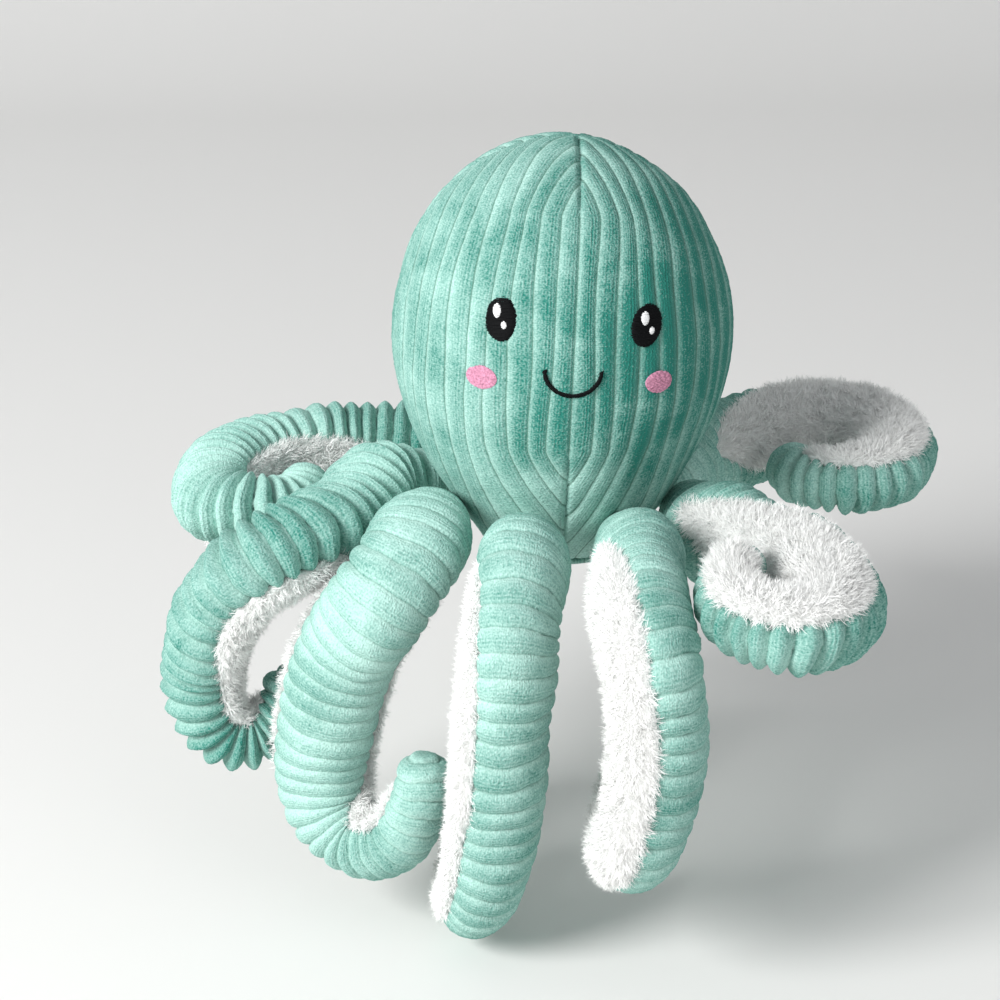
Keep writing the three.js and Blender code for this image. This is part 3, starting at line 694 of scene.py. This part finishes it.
for side, (aside, wide) in CHEEKS.items():
    across, name = aside + FACE_MIDDLE, f"stitched_cheek_{side}"
    pad = oval_pad(across, CHEEK_HEIGHT, wide, 4.6, 0.35, 0.5)
    rows = scattered_rows(across, CHEEK_HEIGHT, wide + 0.1, 4.7, 0.4, 0.5, CHEEK_PITCH, 17)
    cheek = stitched(name, pad, rows, pink_thread, f"cheek_{side}", CHEEK_THREAD)

MOUTH_HEIGHT, MOUTH_HALF_WIDTH, MOUTH_DROP, MOUTH_STROKE = 102, 11.5, 10.2, 1.5
MOUTH_STITCHES, MOUTH_SLANT = 62, 0.035
MOUTH_CORE, CORE_RINGS, CORE_SIDES = 0.5, 41, 10


def on_smile(turn, out, lift):
    """Places on the smile, by their turn from one corner and their distance outside it."""
    across = FACE_MIDDLE - (MOUTH_HALF_WIDTH + out) * np.cos(turn)
    return on_head(across, MOUTH_HEIGHT - (MOUTH_DROP + out) * np.sin(turn), lift)


draw = np.random.default_rng(19)
share = np.linspace(-1, 1, 7)
lift = 0.45 + 0.75 * np.sqrt(1 - (0.92 * share) ** 2)
rows = []
for turn in np.linspace(0, math.pi, MOUTH_STITCHES):
    half = MOUTH_STROKE / 2 + draw.uniform(-0.16, 0.16)
    rows.append(on_smile(turn + MOUTH_SLANT * share, half * share, lift))
turn = np.linspace(0, math.pi, CORE_RINGS)[:, None]
around = np.linspace(0, 2 * math.pi, CORE_SIDES, endpoint=False)
core = on_smile(turn, MOUTH_CORE * np.cos(around), MOUTH_CORE + MOUTH_CORE * np.sin(around))
pad = core.reshape(-1, 3), tube_faces(CORE_RINGS, CORE_SIDES)
stitched("stitched_mouth", pad, rows, black_thread, "mouth")


# Arms: eight tubes of the same velour with the ribs round them, stuffed softly, sewn to the
# neck at their narrow ends and closed at the tips. The routes are those of the solids, as
# shares of the arm's length from each root, with the way that the fluffy side faces.
ARM_LENGTH = 270
ROOT_RADIUS, ROOT_HEIGHT, ROOT_GAP = 15, 26, 0.35
FIRST_ROOT_TURN, ROOT_TURN = -155, 45
TIP_RADIUS, MEAN_RADIUS = 11.5, 17
ARM_HALF_WIDTH, ARM_TOP_DEPTH, ARM_BELLY_DEPTH = 21, 18.5, 16
SWELL_END, TAPER_START = 0.16, 0.45
BEND_STEP, BUNCHING = 2.0, 0.8
STRIP_SPANS = ((0.07, 0.93),) * 4 + ((0.12, 0.93), (0.07, 0.97), (0.07, 0.93), (0.07, 0.93))
STRIP_HALF_ANGLES = np.radians((72, 52, 88, 67, 66, 67, 67, 67))
STRIP_START, STRIP_ENDS = 0.6, (0.45,) * 5 + (0.2, 0.45, 0.45)
ARM_RIB = 9.6
ARM_RIB_RISES = (5.0, 4.8, 2.0, 1.9, 2.1, 4.8, 4.2, 4.0)
ARM_RIB_FULLNESS = (1.4, 1.4, 2.4, 2.4, 2.4, 1.5, 1.7, 1.7)
ARM_RIB_EDGE, ARM_RIB_MIDDLE = 0.65, 0.64
INSIDE_PINCH = 0.4
ROOT_BULGE, ROOT_BULGE_PLACE, ROOT_BULGE_REACH = 2.2, 23, 15
ARM_DENT, ARM_DENT_SIZE, ARM_UNEVEN_PILE = 0.8, 38, 0.09
ARM_SEAM_SINK, ARM_SEAM_SINK_WIDTH, UNDER_STRIP = 1.6, 1.5, 2.2
ARM_BARE = 0.25
ROWS_PER_ARM_RIB, ROOT_CAP_ROWS, TIP_CAP_ROWS = 10, 8, 18
SKIN_COLUMNS, STRIP_COLUMNS = 60, 8
# Painted light and shade on each arm, at its root and beyond its bend: darker where the arm lies in
# shade, lighter where light falls on it.
ROOT_PAINTED_LIGHT = (-0.3, 0.14, 0.08, 0.07, 0.02, -0.14, -0.16, 0.0)
TIP_PAINTED_LIGHT = (0.16, -0.22, 0.04, -0.14, -0.09, -0.16, -0.16, 0.0)
ROUTES = [[
    (0, 0, 0, -0.2, -0.2, -1), (-0.055, 0.065, 0.005, -0.2, -0.3, -0.9),
    (-0.145, 0.085, 0, 0, -0.6, -0.8), (-0.265, 0.08, 0, 0, -0.75, -0.65),
    (-0.38, 0.035, 0, 0.5, -0.6, -0.65), (-0.455, -0.05, 0, 0.75, -0.1, -0.65),
    (-0.473, -0.135, 0, 0.7, 0.2, -0.65), (-0.451, -0.19, 0, 0.5, 0.5, -0.7),
    (-0.397, -0.213, 0, 0, 0.7, -0.7), (-0.344, -0.191, -0.005, -0.5, 0.5, -0.7),
    (-0.322, -0.137, -0.005, -0.7, 0.1, -0.7), (-0.32, -0.08, -0.01, -0.7, -0.2, -0.7),
], [
    (0, 0, 0, 0, 0, -1), (-0.08, -0.05, 0.015, 0.1, -0.1, -1),
    (-0.135, -0.145, 0.005, 0.2, -0.2, -1), (-0.2, -0.22, 0, 0.3, -0.2, -0.9),
    (-0.275, -0.25, -0.03, 0.4, -0.2, -0.9), (-0.34, -0.225, -0.11, 0.8, -0.3, -0.5),
    (-0.375, -0.195, -0.225, 0.95, 0, -0.1), (-0.37, -0.195, -0.295, 0.85, 0, 0.4),
    (-0.34, -0.195, -0.345, 0.4, 0, 0.9), (-0.29, -0.19, -0.355, -0.2, 0, 0.95),
    (-0.245, -0.175, -0.315, -0.7, 0, 0.6), (-0.225, -0.155, -0.25, -0.9, 0, 0.3),
], [
    (0, 0, 0, 0, 0.1, -1), (-0.015, -0.06, 0.015, 0.1, 0.3, -1),
    (-0.045, -0.135, 0, 0.15, 0.6, -0.8), (-0.1, -0.17, -0.065, 0.08, 0.9, -0.4),
    (-0.145, -0.145, -0.15, 0.06, 0.95, -0.15), (-0.175, -0.12, -0.265, 0.08, 0.95, -0.05),
    (-0.19, -0.11, -0.355, 0.2, 0.9, 0.15), (-0.185, -0.115, -0.435, 0.4, 0.7, 0.5),
    (-0.14, -0.145, -0.485, 0.3, 0.6, 0.8), (-0.075, -0.19, -0.465, -0.3, 0.65, 0.7),
    (-0.035, -0.22, -0.38, -0.6, 0.7, 0.3), (-0.03, -0.215, -0.295, -0.65, 0.7, 0.2),
], [
    (0, 0, 0, -0.7, 0.1, -0.7), (0, -0.06, 0.015, -0.92, 0.1, -0.35),
    (-0.01, -0.125, -0.005, -0.95, 0.2, -0.2), (-0.025, -0.18, -0.07, -0.94, 0.28, -0.1),
    (-0.035, -0.195, -0.18, -0.92, 0.36, 0), (-0.045, -0.19, -0.32, -0.9, 0.42, 0),
    (-0.055, -0.18, -0.435, -0.8, 0.58, 0.1), (-0.07, -0.155, -0.515, -0.78, 0.42, 0.4),
    (-0.08, -0.1, -0.565, -0.8, 0.1, 0.6), (-0.08, -0.03, -0.555, -0.8, -0.3, 0.5),
    (-0.075, 0.025, -0.505, -0.8, -0.5, 0.2), (-0.07, 0.045, -0.44, -0.8, -0.6, 0),
], [
    (0, 0, 0, -0.9, 0, 0.35), (0, -0.065, 0.015, -0.9, 0, 0.4),
    (-0.01, -0.185, 0.01, -0.92, 0.05, 0.38), (-0.01, -0.28, -0.01, -0.95, -0.05, 0.3),
    (0, -0.33, -0.055, -0.97, -0.18, 0.15), (0.01, -0.34, -0.145, -0.98, -0.18, 0),
    (0.005, -0.33, -0.255, -0.98, -0.15, 0), (-0.01, -0.315, -0.345, -0.98, -0.1, -0.1),
    (-0.02, -0.25, -0.405, -0.98, 0, 0.15), (-0.015, -0.17, -0.395, -0.95, 0.1, 0.2),
    (-0.005, -0.13, -0.34, -0.9, -0.2, 0.3), (0.005, -0.125, -0.265, -0.9, -0.4, 0.1),
], [
    (0, 0, 0, -0.6, -0.4, 0.5), (0.02, -0.075, 0.005, -0.6, -0.4, 0.55),
    (0.07, -0.155, 0.005, -0.6, -0.4, 0.65), (0.125, -0.225, 0.005, -0.55, -0.35, 0.75),
    (0.145, -0.31, 0.005, -0.5, -0.1, 0.85), (0.151, -0.408, 0.005, -0.35, 0.1, 0.95),
    (0.129, -0.461, 0.005, -0.15, 0.2, 1), (0.077, -0.484, 0.005, 0, 0.2, 1),
    (0.024, -0.462, 0.01, 0.2, 0.1, 0.95), (0.002, -0.41, 0.02, 0.15, -0.1, 0.95),
    (0.01, -0.35, 0.03, 0, -0.25, 0.95), (0.045, -0.3, 0.035, 0.05, -0.35, 0.9),
], [
    (0, 0, 0, 0.7, -0.5, 0.45), (0.045, 0.08, 0.005, 0.65, -0.6, 0.5),
    (0.11, 0.15, 0, 0.5, -0.7, 0.55), (0.195, 0.21, 0, 0.2, -0.7, 0.65),
    (0.285, 0.23, 0, -0.1, -0.6, 0.75), (0.36, 0.185, 0, -0.4, -0.3, 0.85),
    (0.385, 0.09, 0, -0.3, 0, 1), (0.35, 0, 0, -0.1, 0.2, 1),
    (0.275, -0.04, 0, 0, 0.2, 1), (0.215, -0.01, 0, 0.2, 0.1, 1),
    (0.2, 0.06, 0, 0.2, -0.1, 1),
], [
    (0, 0, 0, 0, 0, -1), (-0.03, 0.095, 0.01, 0.2, 0, -1),
    (-0.08, 0.21, 0.005, 0.5, 0, -0.9), (-0.075, 0.335, 0.005, 0.6, -0.2, -0.8),
    (-0.005, 0.435, 0.005, 0.4, -0.6, -0.7), (0.095, 0.445, 0.005, -0.2, -0.7, -0.7),
    (0.17, 0.37, 0.005, -0.7, -0.1, -0.7), (0.15, 0.275, 0, -0.5, 0.5, -0.7),
    (0.08, 0.245, -0.005, 0, 0.7, -0.7),
]]


def through(points, even):
    """Many points on a smooth curve through a few, spaced evenly or by their distances."""
    points = np.asarray(points, float)
    points = np.vstack([2 * points[0] - points[1], points, 2 * points[-1] - points[-2]])
    curve = []
    t = np.linspace(0, 1, 60, endpoint=False)[:, None]
    for before, start, end, after in zip(points, points[1:], points[2:], points[3:]):
        if even:
            leave, arrive = (end - before) / 2, (after - start) / 2
        else:
            steps = (start - before, end - start, after - end)
            first, second, third = (np.linalg.norm(step) ** 0.5 for step in steps)
            steady = steps[1] / second
            leave = steps[0] / first - (end - before) / (first + second) + steady
            arrive = steady - (after - start) / (second + third) + steps[2] / third
            leave, arrive = leave * second, arrive * second
        curve.append(
            start + leave * t + (-3 * start + 3 * end - 2 * leave - arrive) * t ** 2
            + (2 * start - 2 * end + leave + arrive) * t ** 3
        )
    return np.vstack(curve + [points[-2][None]])


def unit(vectors):
    return vectors / np.linalg.norm(vectors, axis=-1, keepdims=True)


def across_to(directions, tangents):
    """The part of each direction that lies straight across its tangent."""
    return unit(directions - (directions * tangents).sum(-1, keepdims=True) * tangents)


class Arm:
    """One arm's middle line, with its directions and sizes at any distance along it."""

    def __init__(self, index):
        azimuth, step = math.radians(FIRST_ROOT_TURN + ROOT_TURN * index), 2 * SLOPE_STEP
        above, below = head_radius(ROOT_HEIGHT + SLOPE_STEP), head_radius(ROOT_HEIGHT - SLOPE_STEP)
        slope = float(above - below)
        outward, upward = np.array([step, -slope]) / math.hypot(step, slope)
        normal = spun(outward, azimuth, upward)
        seam = spun(float(head_radius(ROOT_HEIGHT)), azimuth, ROOT_HEIGHT)
        rows, root = np.array(ROUTES[index]), normal * (ROOT_RADIUS + ROOT_GAP)
        self.line = through(rows[:, :3] * ARM_LENGTH + seam + root, False)
        steps = np.linalg.norm(np.diff(self.line, axis=0), axis=1)
        self.reach = np.concatenate([[0], np.cumsum(steps)])
        self.length = self.reach[-1]
        self.tangent = unit(np.gradient(self.line, self.reach, axis=0))
        bend = np.linalg.norm(np.gradient(self.tangent, self.reach, axis=0), axis=1)
        bend = np.convolve(np.pad(bend, 20, mode="edge"), np.full(41, 1 / 41), mode="valid")
        stretch = 1 + BUNCHING * MEAN_RADIUS * (bend[1:] + bend[:-1]) / 2
        self.cloth = np.concatenate([[0], np.cumsum(steps * stretch)])
        facing = unit(rows[:, 3:])
        start = self.tangent[0]
        belly, seen = across_to(facing[0], start), across_to(-normal, start)
        angle = math.atan2(start @ np.cross(belly, seen), belly @ seen)
        turn = angle - round(angle / (math.pi / 3)) * math.pi / 3
        facing[0] = belly * math.cos(turn) + np.cross(start, belly) * math.sin(turn)
        self.facing = through(facing, True)
        self.index = index

    def take(self, values, distance):
        """Vectors at distances along the arm, from those at the points of its line."""
        return np.stack([np.interp(distance, self.reach, values[:, k]) for k in range(3)], -1)

    def at(self, distance):
        """Place, tangent, fluffy side, side, half sizes and bend at distances along the arm."""
        place, tangent = self.take(self.line, distance), unit(self.take(self.tangent, distance))
        belly = across_to(self.take(self.facing, distance), tangent)
        side = np.cross(tangent, belly)
        ahead = unit(self.take(self.tangent, distance + BEND_STEP))
        turn = (ahead - unit(self.take(self.tangent, distance - BEND_STEP))) / (2 * BEND_STEP)
        share = distance / self.length
        swell, taper = smooth(share / SWELL_END), smooth((share - TAPER_START) / (1 - TAPER_START))
        sizes = []
        for full in (ARM_HALF_WIDTH, ARM_TOP_DEPTH, ARM_BELLY_DEPTH):
            swollen = ROOT_RADIUS + (full - ROOT_RADIUS) * swell
            sizes.append(swollen + (TIP_RADIUS - swollen) * taper)
        return place, tangent, belly, side, sizes, turn


def strip_half_angle(arm, share):
    """Half of the fluffy strip's angle round the arm: a leaf, pointed at both ends."""
    start, end = STRIP_SPANS[arm.index]
    along = np.clip((share - start) / (end - start), 0, 1)
    blunt = np.where(along < 0.5, STRIP_START, STRIP_ENDS[arm.index])
    return STRIP_HALF_ANGLES[arm.index] * np.sin(math.pi * along) ** blunt


def round_arm(belly, side, angle):
    """Directions away from the arm's middle, at angles from the fluffy side."""
    return belly[:, None] * np.cos(angle)[..., None] + side[:, None] * np.sin(angle)[..., None]


def section(arm, distance, cap, cap_radius, angle, rise):
    """Points of an arm's surface: rows at distances, columns at angles from the fluffy side."""
    place, tangent, belly, side, (wide, top, under), _ = arm.at(distance)
    cos, sin = np.cos(angle), np.sin(angle)
    depth = np.where(cos > 0, under[:, None], top[:, None]) + rise
    ahead = (cap_radius[:, None] + rise) * np.sin(cap)[:, None]
    shrink = np.cos(cap)[:, None]
    return (
        place[:, None]
        + tangent[:, None] * ahead[..., None]
        + belly[:, None] * (depth * cos * shrink)[..., None]
        + side[:, None] * ((wide[:, None] + rise) * sin * shrink)[..., None]
    )


def arm_skin(arm):
    """The velour tube: ribs puffed up round the arm and pinched where it bends inwards."""
    k, tip = arm.index, arm.length - TIP_RADIUS
    root_caps = np.radians(np.linspace(-62, 0, ROOT_CAP_ROWS, endpoint=False))
    tip_caps = np.radians(np.linspace(2, 88, TIP_CAP_ROWS))
    tip_cloth = np.interp(tip, arm.reach, arm.cloth)
    body = np.interp(np.arange(0, tip_cloth, ARM_RIB / ROWS_PER_ARM_RIB), arm.cloth, arm.reach)
    distance = np.concatenate([np.zeros(ROOT_CAP_ROWS), body, np.full(TIP_CAP_ROWS, tip)])
    cap = np.concatenate([root_caps, np.zeros(len(body)), tip_caps])
    counts = [ROOT_CAP_ROWS, len(body), TIP_CAP_ROWS]
    cap_radius = np.repeat([ROOT_RADIUS, 0, TIP_RADIUS], counts)
    cloth = (np.interp(distance, arm.reach, arm.cloth) + cap_radius * cap)[:, None]
    half = strip_half_angle(arm, (distance + cap_radius * np.sin(cap)) / arm.length)[:, None]
    skin = np.linspace(0, 1, SKIN_COLUMNS + 1)
    strip = np.linspace(0, 1, STRIP_COLUMNS + 1)[1:-1]
    angle = np.hstack([
        half + (2 * math.pi - 2 * half) * skin, -half + 2 * half * strip + 2 * math.pi,
    ])
    in_strip = np.arange(angle.shape[1]) > SKIN_COLUMNS
    seam_gap = np.minimum(angle - half, 2 * math.pi - half - angle) * MEAN_RADIUS

    _, _, belly, side, _, turn = arm.at(distance)
    inner = (round_arm(belly, side, angle) * turn[:, None]).sum(-1) * MEAN_RADIUS
    waver = 0.05 * np.sin(2 * angle + cloth / 31 + k)
    waver += 0.04 * np.sin(3 * angle - cloth / 17 + 2 * k) + 0.02 * np.sin(7 * angle + cloth / 7.3)
    uneven = 1.1 * np.sin(cloth / 12.7 + 1.7 * k) + 0.8 * np.sin(cloth / 7.3 + 2.9 * k)
    ribs = (cloth + uneven) / ARM_RIB + waver
    plump = 1 + 0.22 * np.sin(cloth / 19 + 2 * angle + k) + 0.15 * np.sin(cloth / 6.1 - angle)
    puff = ARM_RIB_RISES[k] * (1 - INSIDE_PINCH * np.clip(inner, -0.6, 0.9)) * plump
    closing = smooth(math.pi / 2 - cap, 0.05, 0.6)[:, None]
    pile = ARM_UNEVEN_PILE * np.random.default_rng(60 + k).normal(size=angle.shape)
    bulge = ROOT_BULGE * np.exp(-((distance - ROOT_BULGE_PLACE) / ROOT_BULGE_REACH) ** 2)
    sink = np.exp(-(np.clip(seam_gap, 0, None) / ARM_SEAM_SINK_WIDTH) ** 2)
    flat = section(arm, distance, cap, cap_radius, angle, 0 * angle)
    rise = puff * (rib_height(ribs, ARM_RIB_FULLNESS[k], ARM_RIB_EDGE) - ARM_RIB_MIDDLE) * closing
    rise += bulge[:, None] * (cap[:, None] == 0)
    rise += pile * closing * smooth(seam_gap, 0.5, 3)
    rise += ARM_DENT * dents(flat, 30 + k, ARM_DENT_SIZE)
    rise *= smooth(distance, -14, 10)[:, None]
    rise -= ARM_SEAM_SINK * sink * (half > 0.05)
    rise = np.where(in_strip & (half > 0.05), -UNDER_STRIP, rise)
    at = section(arm, distance, cap, cap_radius, angle, rise)
    faces = tube_faces(*angle.shape)
    made = new_mesh(f"sewn_arm_{k + 1}", at.reshape(-1, 3), faces, velour)
    # Painted light and shade, from the root's value to the tip's.
    nap_and_painted_light = ROOT_PAINTED_LIGHT[k] + (TIP_PAINTED_LIGHT[k] - ROOT_PAINTED_LIGHT[k]) * smooth(distance / arm.length, 0.1, 0.5)
    nap_and_painted_light = np.broadcast_to(nap_and_painted_light[:, None], ribs.shape).ravel()
    places = np.stack([ribs, angle * MEAN_RADIUS / ARM_RIB], -1).reshape(-1, 2)
    cloth_map(made, places, nap_and_painted_light, ARM_BARE)
    clean(made, JOIN_WITHIN)
    return made


# The fluffy strip: white long-pile plush let into the seam down each arm. Its pile is fine
# fibre in small clumps that curl a little and stand out past the velour's edge.
PILE_WHITE, PILE_ROOT = linear(253, 253, 251), linear(236, 236, 234)
fluff, nodes = new_material("white long pile")
surface(nodes, {
    "Base Color": PILE_WHITE, "Roughness": 0.9, "Specular IOR Level": 0.1,
    "Sheen Weight": 0.8, "Sheen Roughness": 0.6,
})
backing, nodes = new_material("white pile backing")
place = nodes.node("ShaderNodeTexCoord").other("Object")
roots = nodes.node("ShaderNodeTexNoise", None, {0: place, "Scale": 700.0, "Detail": 2.0})
tone = nodes.mix(roots, PILE_ROOT, PILE_WHITE)
bump = nodes.node("ShaderNodeBump", None, {"Strength": 0.7, "Distance": 0.001, "Height": roots})
surface(nodes, {"Base Color": tone, "Roughness": 0.9, "Specular IOR Level": 0.1, "Normal": bump})

PILE_LENGTH, TUFT_KINDS, STRANDS = 5.8, 6, 10
CLUMP_SPREAD, CLUMP_FAN, ROOT_DEPTH = 0.75, 1.1, 0.3
draw = np.random.default_rng(23)
tuft_shelf = bpy.data.collections.new("pile tufts")
bpy.context.scene.collection.children.link(tuft_shelf)
for kind in range(TUFT_KINDS):
    points, faces = [], []
    clump_way = draw.uniform(0, 2 * math.pi)
    for strand in range(STRANDS):
        at = np.append(draw.normal(0, CLUMP_SPREAD, 2), -ROOT_DEPTH)
        way = clump_way + draw.normal(0, CLUMP_FAN)
        lean, arch, twist = (draw.uniform(*ends) for ends in ((0.05, 0.4), (0.5, 1.7), (-1.8, 1.8)))
        step = PILE_LENGTH / 3 * draw.uniform(0.62, 1.1)
        start = len(points)
        for share, thick in ((0, 0.1), (0.33, 0.11), (0.67, 0.09), (1, 0)):
            heading, tilt = way + twist * share, lean + arch * share
            beside = np.array([-math.sin(heading), math.cos(heading), 0]) * thick
            points += [at - beside, at + beside] if thick else [at]
            flat, up = math.sin(tilt), math.cos(tilt)
            at = at + step * np.array([math.cos(heading) * flat, math.sin(heading) * flat, up])
        faces += [
            (start + 1, start, start + 2, start + 3), (start + 3, start + 2, start + 4, start + 5),
            (start + 5, start + 4, start + 6),
        ]
    mesh = bpy.data.meshes.new(f"tuft {kind}")
    mesh.from_pydata((np.array(points) / 1000).tolist(), [], faces)
    tuft_shelf.objects.link(bpy.data.objects.new(f"tuft {kind}", mesh))


TUFT_SHORTEST, TUFT_LONGEST, TUFT_LEAN, FULL_TURN = 0.7, 1.15, 0.35, 6.2832
TUFTS_PER_SQUARE_MM, MOST_TUFTS = 0.52, 3650
BACKING_STEP, BACKING_COLUMNS, BACKING_DEPTH = 2.0, 19, 3.0
BACKING_CROWN, BACKING_EDGE, SPLAY = 2.8, 0.6, 0.9


def chance(nodes, kind, sockets, result):
    """A random value of one kind, from the output that holds that kind."""
    made = nodes.node("FunctionNodeRandomValue", {"data_type": kind}, sockets)
    found = [output for output in made.socket.node.outputs if output.type == result]
    return Wire(nodes, found[0])


def long_pile_tree():
    """Clumps of pile standing all over the upper face of a strip."""
    tree, nodes, given = new_tree(
        "long pile", ("Strip", "Geometry"), ("Tufts", "Collection"),
        ("Tufts per square metre", "Float", TUFTS_PER_SQUARE_MM * 1e6),
        ("Lean", "Float", TUFT_LEAN), ("Seed", "Int", 1), ("Pile", "Material"),
    )
    seed = given.other("Seed")
    thickness = carried(nodes, "pile", "FLOAT") * given.other("Tufts per square metre")
    spots = nodes.node("GeometryNodeDistributePointsOnFaces", None, {
        "Mesh": given, "Density": thickness, "Seed": seed,
    })
    lie = carried(nodes, "lie", "FLOAT_VECTOR")
    stand = nodes.node("FunctionNodeAlignRotationToVector", {"axis": "Z"}, {"Vector": lie})
    shelf = nodes.node("GeometryNodeCollectionInfo", None, {
        0: given.other("Tufts"), "Separate Children": True, "Reset Children": True,
    })
    which = chance(nodes, "INT", {"Min": 0, "Max": TUFT_KINDS - 1, "Seed": seed}, "INT")
    lean = given.other("Lean")
    low = nodes.node("ShaderNodeCombineXYZ", None, {0: lean * -1.0, 1: lean * -1.0, 2: 0.0})
    high = nodes.node("ShaderNodeCombineXYZ", None, {0: lean, 1: lean, 2: FULL_TURN})
    spin = chance(nodes, "FLOAT_VECTOR", {0: low, 1: high, "Seed": seed}, "VECTOR")
    sizes = {2: TUFT_SHORTEST, 3: TUFT_LONGEST, "Seed": seed + 3.0}
    size = chance(nodes, "FLOAT", sizes, "VALUE")
    placed = nodes.node("GeometryNodeInstanceOnPoints", None, {
        "Points": spots, "Instance": shelf, "Pick Instance": True, "Instance Index": which,
        "Rotation": stand, "Scale": size,
    })
    turned = nodes.node("GeometryNodeRotateInstances", None, {
        "Instances": placed, "Rotation": spin, "Local Space": True,
    })
    grown = painted(nodes, turned, given.other("Pile"))
    both = nodes.node("GeometryNodeJoinGeometry", None, {0: grown})
    tree.links.new(given.socket, both.socket.node.inputs[0])
    nodes.node("NodeGroupOutput", None, {0: both})
    return tree


long_pile = long_pile_tree()


def arm_fluff(arm):
    """The strip's backing as a thin closed slab, with the pile standing on it."""
    start, end = (arm.length * share for share in STRIP_SPANS[arm.index])
    distance = np.arange(start + 1.5, end - 1.0, BACKING_STEP)
    down, tip = distance / arm.length, arm.length - TIP_RADIUS
    cap = np.where(distance > tip, np.arcsin(np.clip((distance - tip) / TIP_RADIUS, 0, 1)), 0)
    cap_radius = np.where(distance > tip, TIP_RADIUS, 0.0)
    half = strip_half_angle(arm, down)[:, None]
    angle = half * np.linspace(-1, 1, BACKING_COLUMNS)
    share = angle / np.maximum(half, 1e-3)
    dome = np.sqrt(np.clip(1 - share ** 2, 0, 1))
    crown = BACKING_CROWN * dome * smooth(half, 0.1, 0.9) - BACKING_EDGE
    along = np.minimum(distance, tip)
    flat = section(arm, along, cap, cap_radius, angle, crown)
    lumps = 0.8 * dents(flat, 70 + arm.index, 11) + 0.5 * dents(flat, 80 + arm.index, 5)
    upper = section(arm, along, cap, cap_radius, angle, crown + lumps * dome)
    lower = section(arm, along, cap, cap_radius, angle, 0 * crown - BACKING_DEPTH)
    _, tangent, belly, side, _, _ = arm.at(along)
    outward = round_arm(belly, side, angle) * np.cos(cap)[:, None, None]
    outward = outward + tangent[:, None] * np.sin(cap)[:, None, None]
    beside = round_arm(side, -belly, angle)
    comb = 0.45 - 0.35 * smooth(down, 0.07, 0.25) + 0.8 * smooth(down, 0.78, 0.92)
    forward = tangent[:, None] * comb[:, None, None]
    lie = unit(outward + beside * (SPLAY * share)[..., None] + forward)
    top = np.arange(angle.size).reshape(angle.shape)
    low = top + angle.size
    faces = quads(top[:-1, :-1], top[:-1, 1:], top[1:, 1:], top[1:, :-1])
    faces += quads(low[:-1, :-1], low[1:, :-1], low[1:, 1:], low[:-1, 1:])
    rim = np.concatenate([top[:-1, 0], top[-1, :-1], top[:0:-1, -1], top[0, :0:-1]])
    after = np.roll(rim, -1)
    faces += quads(rim, after, after + angle.size, rim + angle.size)
    points = np.vstack([upper.reshape(-1, 3), lower.reshape(-1, 3)])
    made = new_mesh(f"fluffy_strip_{arm.index + 1}", points, faces, backing)
    clean(made, 0.001)
    polygons = made.data.polygons
    on_top = [float(max(polygon.vertices) < angle.size) for polygon in polygons]
    made.data.attributes.new("pile", "FLOAT", "FACE").data.foreach_set("value", on_top)
    ways = made.data.attributes.new("lie", "FLOAT_VECTOR", "POINT").data
    ways.foreach_set("vector", np.tile(lie.reshape(-1, 3), (2, 1)).ravel())
    area = sum(polygon.area for polygon, value in zip(polygons, on_top) if value) * 1e6
    bake_nodes(made, long_pile, {
        "Tufts": tuft_shelf, "Pile": fluff, "Seed": 40 + arm.index, "Lean": TUFT_LEAN,
        "Tufts per square metre": min(TUFTS_PER_SQUARE_MM, MOST_TUFTS / area) * 1e6,
    })
    return made


for index in range(8):
    arm = Arm(index)
    body = f"arm_{index + 1}"
    skin = arm_skin(arm)
    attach(skin, body)
    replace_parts(skin, f"{body}_top", f"{body}_filling")
    strip = arm_fluff(arm)
    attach(strip, body)
    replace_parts(strip, f"{body}_belly")

for tuft in list(tuft_shelf.objects):
    bpy.data.objects.remove(tuft)
bpy.data.collections.remove(tuft_shelf)
